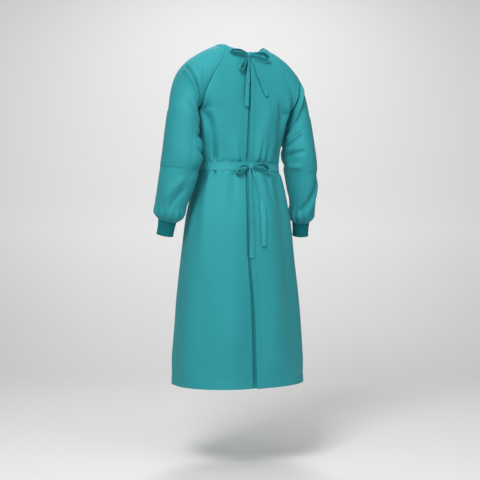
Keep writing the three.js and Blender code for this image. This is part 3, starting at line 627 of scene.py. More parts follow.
def on_back(x, z):
    """Points of the back straight behind x and z, with the cloth's outward directions."""
    x, z = np.broadcast_arrays(np.asarray(x, float), np.asarray(z, float))
    low = np.zeros(x.shape)
    high = np.full(x.shape, 2.0)
    for _ in range(18):
        middle = (low + high) / 2
        above = body_points("back", middle, across_at(middle, x))[..., 2] > z
        low = np.where(above, middle, low)
        high = np.where(above, high, middle)
    level = (low + high) / 2
    across = across_at(level, x)
    below = body_points("back", np.minimum(level + 0.01, 2), across)
    down = below - body_points("back", level - 0.01, across)
    left = body_points("back", level, across + 0.01) - body_points("back", level, across - 0.01)
    return body_points("back", level, across), unit(np.cross(left, down))


def lap_lift(level, x):
    """How far the left back panel dips at x to pass under the right one."""
    edge = LAP_EDGE(drop_at_level("back", level))
    return -edge["dip"] * (1 - ease(x, edge["x"] + 4, edge["x"] + edge["slope"]))


def grid_normals(points, outward):
    """Unit normals of a grid of points, turned to the side of the outward hint."""
    rows = np.gradient(points, axis=0)
    columns = np.gradient(points, axis=1)
    normals = unit(np.cross(rows, columns))
    middle = normals[normals.shape[0] // 2, normals.shape[1] // 2]
    return normals if float(np.dot(middle, outward)) > 0 else -normals


def lengths(points, axis):
    """Running length along an axis of a grid of points."""
    steps = np.linalg.norm(np.diff(points, axis=axis), axis=-1)
    start = np.zeros_like(np.take(steps, [0], axis=axis))
    return np.concatenate([start, np.cumsum(steps, axis=axis)], axis=axis)


def new_piece(name, verts, faces, material, uv=None):
    """A mesh object from points in millimetres, smooth but for its rims."""
    mesh = bpy.data.meshes.new(name)
    mesh.from_pydata((np.asarray(verts) * MM).tolist(), [], faces)
    if uv is not None:
        layer = mesh.uv_layers.new(name="cloth")
        corner = np.empty(len(mesh.loops), np.int32)
        mesh.loops.foreach_get("vertex_index", corner)
        layer.data.foreach_set("uv", np.asarray(uv, np.float32)[corner].ravel())
    mesh.materials.append(material)
    mesh.shade_smooth()
    mesh.set_sharp_from_angle(angle=math.radians(62))
    mesh.validate()
    piece = bpy.data.objects.new(name, mesh)
    bpy.context.scene.collection.objects.link(piece)
    return piece


class Cloth:
    """A sheet of cloth as a grid of points with normals, made into a thin closed shell."""

    def __init__(self, points, outward, thick, closed=False):
        self.points = points
        self.thick = thick
        self.closed = closed
        if closed:
            wrapped = np.concatenate([points[:, -1:], points, points[:, :1]], axis=1)
            self.normals = grid_normals(wrapped, outward)[:, 1:-1]
        else:
            self.normals = grid_normals(points, outward)

    def raise_by(self, height):
        """Moves the cloth out along its normals."""
        self.points = self.points + self.normals * np.asarray(height)[..., None]
        return self

    def outer(self, rise=0.0):
        """Points on the outer face, raised."""
        return self.points + self.normals * (self.thick / 2 + rise)

    def piece(self, name, material):
        """The shell as a mesh object."""
        rows, columns = self.points.shape[:2]
        index = np.arange(rows * columns).reshape(rows, columns)
        if self.closed:
            index = np.concatenate([index, index[:, :1]], axis=1)
        a, b, c, d = index[:-1, :-1], index[1:, :-1], index[1:, 1:], index[:-1, 1:]
        quads = np.stack([a, b, c, d], -1).reshape(-1, 4)
        facing = np.cross(
            self.points[rows // 2 + 1, 1] - self.points[rows // 2, 1],
            self.points[rows // 2, 2] - self.points[rows // 2, 1],
        )
        if float(np.dot(facing, self.normals[rows // 2, 1])) < 0:
            quads = quads[:, ::-1]
        below = rows * columns
        edges = {}
        for i in range(4):
            edges.update(dict.fromkeys(zip(quads[:, i].tolist(), quads[:, (i + 1) % 4].tolist())))
        rim = [(u, v) for u, v in edges if (v, u) not in edges]
        faces = quads.tolist() + (quads[:, ::-1] + below).tolist()
        faces += [(v, u, u + below, v + below) for u, v in rim]
        flat_normals = self.normals.reshape(-1, 3) * self.thick / 2
        flat_points = self.points.reshape(-1, 3)
        verts = np.concatenate([flat_points + flat_normals, flat_points - flat_normals])
        uv = np.stack([lengths(self.points, 1), lengths(self.points, 0)], -1).reshape(-1, 2) * MM
        return new_piece(name, verts, faces, material, np.concatenate([uv, uv]))


def spaced(count, low, high, fine=(), reach=0.0):
    """Even steps from low to high, with extra stops close to the given values."""
    stops = list(np.linspace(low, high, count))
    for value in fine:
        stops += [value + reach * step for step in (-1, -0.6, -0.3, 0, 0.3, 0.6, 1)]
    kept = sorted(stop for stop in stops if low <= stop <= high)
    result = [kept[0]]
    for stop in kept[1:]:
        if stop - result[-1] > 1e-5:
            result.append(stop)
    return np.array(result)


def stitch_line(path, normals, pitch=3.4, length=2.4, width=0.5, height=0.3):
    """Points and faces of a row of small pointed stitches along a line."""
    run = lengths(path, 0)
    count = max(2, int(run[-1] / pitch))
    places = np.linspace(pitch, run[-1] - pitch, count)
    at = np.stack([np.interp(places, run, path[:, i]) for i in range(3)], -1)
    ahead = np.stack([np.interp(places + 0.5, run, path[:, i]) for i in range(3)], -1)
    out = unit(np.stack([np.interp(places, run, normals[:, i]) for i in range(3)], -1))
    along = unit(ahead - at + 1e-9) * length / 2
    across = unit(np.cross(along, out)) * width / 2
    above = out * height
    verts = np.stack([at - along, at + across, at + along, at - across, at + above, at - above], 1)
    top = [(0, 1, 4), (1, 2, 4), (2, 3, 4), (3, 0, 4)]
    one = np.array(top + [(b, a, 5) for a, b, _ in top])
    faces = (one[None] + 6 * np.arange(count)[:, None, None]).reshape(-1, 3)
    return verts.reshape(-1, 3), faces


def stitches(name, lines):
    """One piece of thread made of several rows of stitches."""
    verts = []
    faces = []
    total = 0
    for path, normals in lines:
        some, cells = stitch_line(path, normals)
        verts.append(some)
        faces.append(cells + total)
        total += len(some)
    piece = new_piece(name, np.concatenate(verts), np.concatenate(faces).tolist(), thread_material())
    dress(piece, ())
    return piece


def dress(piece, nodes):
    """Ties a piece to the frame: it rides on the gown and stands for its nodes, whose imported parts are
    hidden.
    """
    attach(piece, "root")
    if nodes:
        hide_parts(*nodes)


# Materials


def node_group(name, inputs, outputs):
    """An empty shader node group with named inputs and outputs, with its two end nodes."""
    group = bpy.data.node_groups.new(name, "ShaderNodeTree")
    for label, kind, value in inputs:
        socket = group.interface.new_socket(name=label, in_out="INPUT", socket_type=kind)
        if value is not None:
            socket.default_value = value
    for label, kind in outputs:
        group.interface.new_socket(name=label, in_out="OUTPUT", socket_type=kind)
    return group, group.nodes.new("NodeGroupInput"), group.nodes.new("NodeGroupOutput")


def math_node(tree, operation, first, second=None):
    """A math node; each of its values is a socket or a number."""
    node = tree.nodes.new("ShaderNodeMath")
    node.operation = operation
    for socket, value in zip(node.inputs, (first, second)):
        if value is None:
            continue
        if isinstance(value, (int, float)):
            socket.default_value = value
        else:
            tree.links.new(value, socket)
    return node.outputs[0]


def plain_weave_group():
    """Threads over and under each other: gives the height of the weave."""
    group, start, end = node_group(
        "Plain Weave",
        [("Vector", "NodeSocketVector", None), ("Threads per Metre", "NodeSocketFloat", 1600.0)],
        [("Height", "NodeSocketFloat")],
    )
    split = group.nodes.new("ShaderNodeSeparateXYZ")
    group.links.new(start.outputs["Vector"], split.inputs[0])
    waves = []
    for axis in (0, 1):
        turn = math_node(group, "MULTIPLY", split.outputs[axis], start.outputs["Threads per Metre"])
        waves.append(math_node(group, "SINE", math_node(group, "MULTIPLY", turn, 2 * math.pi)))
    both = math_node(group, "MULTIPLY", waves[0], waves[1])
    height = math_node(group, "ADD", math_node(group, "MULTIPLY", both, 0.5), 0.5)
    group.links.new(height, end.inputs["Height"])
    return group


def cloth_tone_group():
    """Uneven dye and wear: a colour a little lighter or darker from place to place."""
    group, start, end = node_group(
        "Cloth Tone",
        [
            ("Vector", "NodeSocketVector", None),
            ("Color", "NodeSocketColor", (0.03, 0.36, 0.39, 1)),
            ("Scale", "NodeSocketFloat", 9.0),
            ("Spread", "NodeSocketFloat", 0.1),
        ],
        [("Color", "NodeSocketColor")],
    )
    noise = group.nodes.new("ShaderNodeTexNoise")
    noise.inputs["Detail"].default_value = 5
    group.links.new(start.outputs["Vector"], noise.inputs["Vector"])
    group.links.new(start.outputs["Scale"], noise.inputs["Scale"])
    centred = math_node(group, "SUBTRACT", noise.outputs[0], 0.5)
    spread = math_node(group, "MULTIPLY", centred, start.outputs["Spread"])
    value = math_node(group, "ADD", math_node(group, "MULTIPLY", spread, 2.0), 1.0)
    tint = group.nodes.new("ShaderNodeHueSaturation")
    group.links.new(start.outputs["Color"], tint.inputs["Color"])
    group.links.new(value, tint.inputs["Value"])
    group.links.new(tint.outputs[0], end.inputs["Color"])
    return group


def rib_knit_group():
    """Rows of slanted knit loops: gives the height of the knit."""
    group, start, end = node_group(
        "Rib Knit",
        [("Vector", "NodeSocketVector", None), ("Loops per Metre", "NodeSocketFloat", 520.0)],
        [("Height", "NodeSocketFloat")],
    )
    split = group.nodes.new("ShaderNodeSeparateXYZ")
    group.links.new(start.outputs["Vector"], split.inputs[0])
    down = math_node(group, "MULTIPLY", split.outputs[1], start.outputs["Loops per Metre"])
    slant = math_node(group, "MULTIPLY", split.outputs[0], 900.0)
    lean = math_node(group, "ABSOLUTE", math_node(group, "SINE", slant))
    loop = math_node(group, "ADD", math_node(group, "MULTIPLY", down, 2 * math.pi), lean)
    group.links.new(math_node(group, "SINE", loop), end.inputs["Height"])
    return group


def shared_group(name, make):
    """The node group of that name, made once."""
    return bpy.data.node_groups.get(name) or make()


def cloth_material(name, color, roughness, sheen, height_group, bump, spread):
    """A dyed cloth: uneven tone, a woven or knitted surface and a soft sheen."""
    found = bpy.data.materials.get(name)
    if found:
        return found
    material = bpy.data.materials.new(name)
    material.use_nodes = True
    tree = material.node_tree
    shader = tree.nodes["Principled BSDF"]
    place = tree.nodes.new("ShaderNodeUVMap")
    place.uv_map = "cloth"
    tone = tree.nodes.new("ShaderNodeGroup")
    tone.node_tree = shared_group("Cloth Tone", cloth_tone_group)
    tone.inputs["Color"].default_value = (*color, 1)
    tone.inputs["Spread"].default_value = spread
    tree.links.new(place.outputs[0], tone.inputs["Vector"])
    tree.links.new(tone.outputs["Color"], shader.inputs["Base Color"])
    threads = tree.nodes.new("ShaderNodeGroup")
    threads.node_tree = height_group
    tree.links.new(place.outputs[0], threads.inputs["Vector"])
    bumps = tree.nodes.new("ShaderNodeBump")
    bumps.inputs["Strength"].default_value = bump
    bumps.inputs["Distance"].default_value = 0.0002
    tree.links.new(threads.outputs["Height"], bumps.inputs["Height"])
    tree.links.new(bumps.outputs[0], shader.inputs["Normal"])
    shader.inputs["Roughness"].default_value = roughness
    shader.inputs["Sheen Weight"].default_value = sheen
    shader.inputs["Sheen Roughness"].default_value = 0.5
    shader.inputs["Sheen Tint"].default_value = (0.55, 0.95, 1, 1)
    shader.inputs["Specular IOR Level"].default_value = 0.3
    return material


def dyed_weave(name, shade, roughness, sheen, bump, spread):
    """A plain weave in a shade of the gown's dye."""
    weave = shared_group("Plain Weave", plain_weave_group)
    color = [shade * value for value in bpy.context.scene.gown_cloth.cloth_color]
    return cloth_material(name, color, roughness, sheen, weave, bump, spread)


def woven_material():
    """The gown's woven cloth."""
    return dyed_weave("woven_teal", shade=1.0, roughness=0.74, sheen=0.06, bump=0.25, spread=0.05)


def patch_material():
    """The doubled cloth of the patches, a shade deeper."""
    return dyed_weave("patch_teal", shade=0.93, roughness=0.74, sheen=0.06, bump=0.25, spread=0.05)


def tape_material():
    """The folded tape of ties, belt and binding, a shade paler."""
    return dyed_weave("tie_tape", shade=1.06, roughness=0.68, sheen=0.15, bump=0.3, spread=0.08)


def rib_material():
    """The darker knit of the cuffs."""
    knit = shared_group("Rib Knit", rib_knit_group)
    color = bpy.context.scene.gown_cloth.knit_color
    return cloth_material(
        "rib_knit_teal", color, roughness=0.92, sheen=0.02, height_group=knit, bump=0.6, spread=0.1
    )


def thread_material():
    """Sewing thread, a little deeper than the cloth."""
    found = bpy.data.materials.get("sewing_thread")
    if found:
        return found
    material = bpy.data.materials.new("sewing_thread")
    material.use_nodes = True
    tree = material.node_tree
    shader = tree.nodes["Principled BSDF"]
    tone = tree.nodes.new("ShaderNodeGroup")
    tone.node_tree = shared_group("Cloth Tone", cloth_tone_group)
    tone.inputs["Color"].default_value = (*[0.85 * c for c in bpy.context.scene.gown_cloth.cloth_color], 1)
    tone.inputs["Scale"].default_value = 60
    place = tree.nodes.new("ShaderNodeTexCoord")
    tree.links.new(place.outputs["Object"], tone.inputs["Vector"])
    tree.links.new(tone.outputs["Color"], shader.inputs["Base Color"])
    shader.inputs["Roughness"].default_value = 0.6
    return material


# Pieces


def body_levels():
    """Levels of the body panels' rows, close together at belt, hem fold and hem."""
    drops = [-HEM_Z - HEM_FOLD, -HEM_Z, -WAIST_Z - BELT_WIDTH / 2, -WAIST_Z + BELT_WIDTH / 2]
    skirt = spaced(178, 1, 2, [level_at_drop(drop) for drop in drops], 0.004)
    return np.concatenate([np.linspace(0, 1, 50), skirt[1:]])


def seam_ridge(distance, height):
    """The soft ridge of a sewn seam beside its narrow groove, by the distance from the seam."""
    return height * bell(distance, 6, 4) - 0.9 * bell(distance, 0, 1.8)


def panel_finish(cloth, levels, edge_distance, lap_distance=None, lap_stand=0.0):
    """Seam ridges, the folded hem and the folded free edge, as small steps in a panel's height."""
    from_hem = (2 - levels[:, None]) * (UNDERARM[2] - HEM_Z)
    girth = lengths(cloth.points, 1)
    pucker = 0.35 * np.sin(girth / 5.5 + 2 * np.sin(girth / 31)) * bell(from_hem, HEM_FOLD, 7)
    hem = 0.6 * (1 - ease(from_hem, HEM_FOLD - 3, HEM_FOLD + 3)) - 0.7 * bell(from_hem, HEM_FOLD, 1.8)
    height = seam_ridge(edge_distance, 0.35) + hem + pucker
    if lap_distance is not None:
        height += 0.5 * (1 - ease(lap_distance, 16, 22)) - 0.6 * bell(lap_distance, STITCH_INSET, 2)
        height += lap_stand * (1 - ease(lap_distance, 0, 30))
    cloth.raise_by(height)


def column_path(cloth, column, rows=slice(None), rise=0.05):
    """A column of a cloth's outer face with its normals."""
    return cloth.outer(rise)[rows, column], cloth.normals[rows, column]


def row_path(cloth, row, columns=slice(None), rise=0.05):
    """A row of a cloth's outer face with its normals."""
    return cloth.outer(rise)[row, columns], cloth.normals[row, columns]


def nearest(values, target):
    """Index of the value closest to the target."""
    return int(np.argmin(np.abs(np.asarray(values) - target)))


def stitch_columns(run):
    """The two columns that lie a stitch's inset from the edges of a row, by its running length."""
    return nearest(run, STITCH_INSET), nearest(run, run.max() - STITCH_INSET)


def panel_stitches(name, cloth, levels, run):
    """Rows of stitches beside a panel's two long edges and along its hem."""
    lines = [column_path(cloth, column) for column in stitch_columns(run[SKIRT_ROW])]
    hem = nearest(levels, level_at_drop(-HEM_Z - HEM_FOLD))
    return stitches(name, [*lines, row_path(cloth, hem)])


def add_front(cloth_set):
    """The front panel with its seams and hem."""
    levels = body_levels()
    columns = spaced(118, -1, 1, (-1, 1), 0.06)
    points = body_points("front", levels[:, None], columns[None], cloth_set.crease)
    cloth = Cloth(points, (0, -1, 0), cloth_set.thickness)
    run = lengths(points, 1)
    panel_finish(cloth, levels, np.minimum(run, run[:, -1:] - run))
    piece = cloth.piece("front_panel_cloth", woven_material())
    dress(piece, ["front_panel"])
    thread = panel_stitches("front_panel_stitches", cloth, levels, run)


def lap_line(levels):
    """How far from the middle the right back panel's free edge lies, at each level."""
    return LAP_EDGE(drop_at_level("back", levels))["x"]


def right_back_columns(levels):
    """Places across the right back panel, from its side seam to its free edge."""
    free = across_at(levels, lap_line(levels))
    return mix(-1, free[:, None], spaced(74, 0, 1, (0, 1), 0.06)[None])


def left_back_columns(levels):
    """Places across the left back panel, from its hidden edge to its side seam, close together at the lap."""
    lap = lap_line(levels)
    hidden = across_at(levels, -UNDER_REACH * ease(levels, -0.4, 0.5))[:, None]
    at_lap = across_at(levels, lap - 3)[:, None]
    past_lap = across_at(levels, lap + 22)[:, None]
    under = mix(hidden, at_lap, np.linspace(0, 1, 22)[None])
    dip = mix(at_lap, past_lap, np.linspace(0, 1, 13)[None, 1:])
    rest = mix(past_lap, 1, spaced(62, 0, 1, (1,), 0.08)[None, 1:])
    return np.concatenate([under, dip, rest], axis=1)


def add_back(cloth_set, name):
    """One back panel with its seams, hem and free edge."""
    levels = body_levels()
    columns = left_back_columns(levels) if name == "left" else right_back_columns(levels)
    points = body_points("back", levels[:, None], columns, cloth_set.crease)
    cloth = Cloth(points, (0, 1, 0), cloth_set.thickness)
    loose = ease(levels, 0.12, 0.4) * clear_of_belt(-drop_at_level("back", levels), 24)
    lap_stand = LAP_STAND * loose
    if name == "left":
        lap = lap_line(levels)[:, None]
        groove = LAP_GROOVE * (1 - ease(points[..., 0], lap, lap + 8)) * loose[:, None]
        cloth.raise_by(lap_lift(levels[:, None], points[..., 0]) - groove)
        cloth = Cloth(cloth.points, (0, 1, 0), cloth_set.thickness)
        lap_stand = np.zeros_like(levels)
    run = lengths(cloth.points, 1)
    from_seam = run if name == "right" else run[:, -1:] - run
    panel_finish(cloth, levels, from_seam, run[:, -1:] - from_seam, lap_stand[:, None])
    piece = cloth.piece(f"back_{name}_panel_cloth", woven_material())
    dress(piece, [f"back_{name}_panel"])
    thread = panel_stitches(f"back_{name}_panel_stitches", cloth, levels, from_seam)


def add_sleeve(cloth_set, name, side):
    """One raglan sleeve, bloused over its cuff."""
    at = np.concatenate([np.linspace(0, 1, 52), np.linspace(1, 1.88, 84)[1:], np.linspace(1.88, 2, 24)[1:]])
    turns = spaced(108, -1, 1, (-1, 1), 0.05)
    points = sleeve_points(side, at[:, None], turns[None], cloth_set.crease)
    cloth = Cloth(points, (side, 0, 0.2), cloth_set.thickness)
    run = lengths(points, 1)
    edge = np.minimum(run, run[:, -1:] - run)
    cloth.raise_by(seam_ridge(edge, 0.3) * (1 - ease(at, 1.86, 1.95))[:, None])
    piece = cloth.piece(f"sleeve_{name}_cloth", woven_material())
    dress(piece, [f"sleeve_{name}"])
    sewn = slice(2, nearest(at, 1.9))
    lines = [column_path(cloth, column, sewn) for column in stitch_columns(run[RAGLAN_ROW])]
    thread = stitches(f"sleeve_{name}_stitches", lines)


def add_patch(cloth_set, name, side):
    """One elbow patch, a second layer sewn flat on the sleeve."""
    at = np.linspace(ELBOW_PATCH["start"], ELBOW_PATCH["end"], 58)
    turns = np.linspace(-ELBOW_PATCH["turn"], ELBOW_PATCH["turn"], 62)
    points = sleeve_points(side, at[:, None], turns[None], cloth_set.crease)
    cloth = Cloth(points, (side, 0, 0), cloth_set.thickness)
    across = lengths(points, 1)
    down = lengths(points, 0)
    edge = np.minimum(np.minimum(across, across[:, -1:] - across), np.minimum(down, down[-1:] - down))
    cloth.raise_by(0.9 + 1.3 * ease(edge, 0, 3.5) - 0.8 * bell(edge, 8, 2.6))
    piece = cloth.piece(f"elbow_patch_{name}_cloth", patch_material())
    dress(piece, [f"elbow_patch_{name}"])
    lines = [row_path(cloth, 2), row_path(cloth, -3), column_path(cloth, 2), column_path(cloth, -3)]
    thread = stitches(f"elbow_patch_{name}_stitches", lines)


def add_cuff(name, side):
    """One rib-knit cuff, drawn in at the wrist."""
    end = SLEEVE(2.0)
    middle_x = (end["outer_x"] + end["inner_x"]) / 2
    middle_z = (end["outer_z"] + end["inner_z"]) / 2
    top = np.array([middle_x, end["mid_y"], middle_z])
    axis = unit(np.array([CUFF["dx"], CUFF["dy"], -1.0]))
    forward = unit(np.array([0, -1.0, 0]) + axis * axis[1])
    sideways = unit(np.cross(forward, axis))
    share = np.linspace(0, 1, 26)[:, None]
    angle = np.linspace(0, 2 * np.pi, CUFF["ribs"] * 8, endpoint=False)[None]
    ribs = 0.9 * np.cos(CUFF["ribs"] * angle + 0.5 * np.sin(3 * angle))
    ribs = ribs * (0.85 + 0.15 * np.sin(5 * angle + 3 * share))
    radius = mix(CUFF["top"], CUFF["foot"], share) + ribs - 1.2 * np.sin(np.pi * share) + 0.6
    radius = radius + 0.8 * bell(share, 0.97, 0.05)
    points = top + axis * (CUFF["start"] + CUFF["length"] * share)[..., None]
    points = points + sideways * (radius * np.cos(angle))[..., None]
    points = points + forward * (radius * np.sin(angle))[..., None]
    points = points * np.array([side, 1, 1])
    outward = points[13, points.shape[1] // 2] - points[13].mean(axis=0)
    cloth = Cloth(points, outward, KNIT_THICK, closed=True)
    piece = cloth.piece(f"cuff_{name}_knit", rib_material())
    dress(piece, [f"cuff_{name}"])


def round_row(level, with_sleeves, past_lap):
    """Points right round the gown at a level, starting at the right back edge, and their dips at the lap."""
    lap = float(lap_line(level))
    right = np.linspace(float(across_at(level, lap)), -1, 60)
    left = np.linspace(1, float(across_at(level, lap + past_lap)), 60)
    parts = [body_points("back", level, right)]
    if with_sleeves:
        parts.append(sleeve_points(-1, level, np.linspace(-1, 1, 50))[1:])
    parts.append(body_points("front", level, np.linspace(-1, 1, 110))[1:])
    if with_sleeves:
        parts.append(sleeve_points(1, level, np.linspace(1, -1, 50))[1:])
    last = body_points("back", level, left)[1:]
    points = np.concatenate([*parts, last])
    dips = np.zeros(len(points))
    dips[-len(last) :] = lap_lift(level, last[:, 0])
    return points, dips


def add_binding():
    """The narrow strip folded over the neck edge."""
    base, dips = round_row(0.0, True, 6)
    low, _ = round_row(BINDING_LEVEL, True, 6)
    normals = grid_normals(np.stack([base, (base + low) / 2, low]), (0, 1, 0))[1]
    if float(np.sum(normals * (base - base.mean(axis=0)))) < 0:
        normals = -normals
    ripple = 0.18 * np.sin(lengths(base, 0) / 7)
    rows = []
    for stop in BINDING_PROFILE:
        lift = stop.lift * 0.85 + dips + ripple
        rows.append(base + (low - base) * (stop.level / BINDING_LEVEL) + normals * lift[:, None])
    cloth = Cloth(np.stack(rows), normals[len(base) // 2], BINDING_THICK)
    if float(np.sum(cloth.normals[BINDING_LEAF_ROW] * normals)) < 0:
        cloth.normals = -cloth.normals
    piece = cloth.piece("neck_binding_strip", tape_material())
    dress(piece, ["neck_binding"])
    thread = stitches("neck_binding_stitches", [row_path(cloth, BINDING_STITCH_ROW)])


def add_belt():
    """The band round the waist that gathers the body in."""
    shares = np.linspace(0, 1, 13)
    drops = mix(-WAIST_Z - BELT_WIDTH / 2, -WAIST_Z + BELT_WIDTH / 2, shares)
    rows = [round_row(level_at_drop(drop), False, 4) for drop in drops]
    points = np.stack([row for row, _ in rows])
    dips = np.stack([dip for _, dip in rows])
    cloth = Cloth(points, (0, -1, 0), TAPE_THICK)
    run = lengths(points, 1)
    from_edge = np.minimum(shares, 1 - shares)[:, None] * BELT_WIDTH
    height = 1.5 + dips + 0.3 * np.sin(run / 23 + 3 * shares[:, None]) - 0.4 * bell(from_edge, 3, 1.2)
    height += 0.35 * np.sin(run / 9 + 2 * np.sin(run / 40)) * bell(from_edge, 0, 6)
    cloth.raise_by(height)
    piece = cloth.piece("belt_band", tape_material())
    dress(piece, ["belt"])
    thread = stitches("belt_stitches", [row_path(cloth, 1), row_path(cloth, -2)])


def knot_middle(name):
    """Middle of a knot, with the outward direction of the back there."""
    knot = KNOTS[name]
    point, out = on_back(knot["x"], knot["z"])
    return point + out * (knot["lift"] + knot["half"][1]), out


def beside_knot(name, x, z, gap):
    """The point just off a knot's face, in a direction along the back."""
    half = KNOTS[name]["half"]
    reach = 1 / math.hypot(x / half[0], z / half[2]) + gap
    return knot_middle(name)[0] + np.array([x, 0, z]) * reach


def add_knot(name):
    """A knot: tape wrapped over itself, with the folds of its turns."""
    half = np.array(KNOTS[name]["half"]) * np.array([1.0, 0.95, 1.0])
    middle, _ = knot_middle(name)
    tall = np.linspace(0.0, np.pi, 40)[1:-1, None]
    round_ = np.linspace(0, 2 * np.pi, 72, endpoint=False)[None]
    x = np.sin(tall) * np.cos(round_)
    y = np.sin(tall) * np.sin(round_)
    z = np.cos(tall) * np.ones_like(round_)
    bulk = (np.abs(x) ** 2.6 + np.abs(y) ** 2.2 + np.abs(z) ** 2.8) ** (-1 / 2.6)
    across = x * 0.83 - z * 0.55
    wrap = 0.94 + 0.07 * np.cos(7.5 * across + 0.8) - 0.1 * bell(across, 0.42, 0.09)
    wrap = wrap - 0.09 * bell(across, -0.5, 0.1) + 0.03 * np.sin(6 * z + 3 * x)
    points = np.stack([x, y, z], -1) * (bulk * wrap)[..., None] * half + middle
    rows, columns = points.shape[:2]
    ends = np.stack([points[0].mean(axis=0), points[-1].mean(axis=0)])
    index = np.arange(rows * columns).reshape(rows, columns)
    following = np.roll(index, -1, axis=1)
    quads = np.stack([index[:-1], index[1:], following[1:], following[:-1]], -1).reshape(-1, 4).tolist()
    quads += [(rows * columns, a, b) for a, b in zip(index[0].tolist(), following[0].tolist())]
    quads += [(rows * columns + 1, b, a) for a, b in zip(index[-1].tolist(), following[-1].tolist())]
    verts = np.concatenate([points.reshape(-1, 3), ends])
    uv = np.stack([round_ + 0 * tall, tall + 0 * round_], -1).reshape(-1, 2) * half[0] * MM
    uv = np.concatenate([uv, np.zeros((2, 2))])
    piece = new_piece(f"{name}_knot_tape", verts, quads, tape_material(), uv)
    dress(piece, [f"{name}_knot"])
    return piece


def ribbon_cloth(centres, halves, waves):
    """A tape along a line, whose edges roll and whose face has small creases."""
    shares = np.linspace(-1, 1, 11)
    points = centres[:, None] + halves[:, None] * shares[None, :, None]
    cloth = Cloth(points, (0, 1, 0), TAPE_THICK)
    run = lengths(centres, 0)[:, None]
    height = waves * (np.sin(run / 8 + 2.2 * shares[None]) + 0.6 * np.sin(run / 3.7 - 1.4 * shares[None]))
    height = height + 0.25 * np.cos(np.pi * shares[None])
    return cloth.raise_by(height * ease(run, 0, 14))


def add_loop(row):
    """A loop of a bow: a tape on edge that runs out to its tip and back."""
    to_tip = 1 if row.tip_x > KNOTS[row.knot]["x"] else -1
    _, start_out = knot_middle(row.knot)
    tip, tip_out = on_back(row.tip_x, row.tip_z)
    steep = math.radians(row.root_angle)
    root = beside_knot(row.knot, to_tip * math.cos(steep), math.sin(steep), row.gap)
    end = tip + tip_out * (TIE_WIDTH[row.knot] / 2 + 6)
    along = end - root
    up = unit(np.cross(np.array([0, 1.0, 0]), along)) * -to_tip
    out = unit(np.cross(along, up)) * to_tip
    half = unit(out - up * row.lean) * TIE_WIDTH[row.knot] / 2
    share = np.linspace(0, 1, 72)[:, None]
    angle = 2 * np.pi * share
    reach = (1 - np.cos(angle)) / 2
    spread = np.sin(angle) * np.sqrt(reach) * row.open * 0.62 + 1.3 * (1 - 2 * share) * (1 - reach)
    centres = root + along * reach + up * (spread - 4 * row.sag * reach * (1 - reach))
    centres = centres + start_out * 4 * LOOP_BOW * reach * (1 - reach)
    halves = half * mix(0.4, 1, ease(reach, 0, 0.6))
    cloth = ribbon_cloth(centres, halves, 0.25)
    piece = cloth.piece(f"{row.name}_tape", tape_material())
    dress(piece, [row.name])


def smooth_line(stops, count):
    """Even stops along a smooth curve through a few points."""
    stops = np.asarray(stops, float)
    keys = lengths(stops, 0)
    table = SizeTable("key x z", np.column_stack([keys, stops]))
    fine = np.linspace(0, keys[-1], 400)
    found = table(fine)
    line = np.stack([found["x"], found["z"]], -1)
    run = lengths(line, 0)
    even = np.linspace(0, run[-1], count)
    return np.stack([np.interp(even, run, line[:, 0]), np.interp(even, run, line[:, 1])], -1)


def add_tail(row):
    """A free end of a tie, narrow at the knot and flat below, with its end turned in and sewn."""
    steep = math.radians(row.root_angle)
    root = beside_knot(row.knot, math.sin(steep), -math.cos(steep), row.gap)
    waypoint = (mix(root[0], row.mid_x, 0.55), mix(root[2], row.mid_z, 0.5))
    stops = [(root[0], root[2]), waypoint, (row.mid_x, row.mid_z), (row.end_x, row.end_z)]
    line = smooth_line(stops, TAIL_ROWS)
    point, out = on_back(line[:, 0], line[:, 1])
    share = np.linspace(0, 1, TAIL_ROWS)[:, None]
    knot_height = KNOTS[row.knot]["lift"] + KNOTS[row.knot]["half"][1]
    lift = mix(knot_height, TAIL_LIFT, ease(share, 0, 0.3))
    flat = np.gradient(line, axis=0)
    along = unit(np.stack([flat[:, 0], np.zeros(TAIL_ROWS), flat[:, 1]], -1))
    twist = row.twist * np.sin(np.pi * share)
    sideways = unit(np.cross(along, out))
    half = sideways * np.cos(twist) + out * np.sin(twist)
    half = half * (TIE_WIDTH[row.knot] / 2) * mix(0.34, 1, ease(share, row.narrow_to, row.flat_from))
    rise = np.abs(np.sum(half * out, axis=1, keepdims=True))
    cloth = ribbon_cloth(point + out * (lift + rise), half, 0.4)
    piece = cloth.piece(f"{row.name}_tape", tape_material())
    dress(piece, [row.name])
    lines = [column_path(cloth, 1), column_path(cloth, -2), row_path(cloth, -4)]
    thread = stitches(f"{row.name}_stitches", lines)


def add_bow(name):
    """A whole bow: knot, loops and tails."""
    knot = add_knot(name)
    loops = [row for row in LOOPS if row.knot == name]
    for i, row in enumerate(loops):
        add_loop(row)
    for row in TAILS:
        if row.knot == name:
            add_tail(row)


# Stage


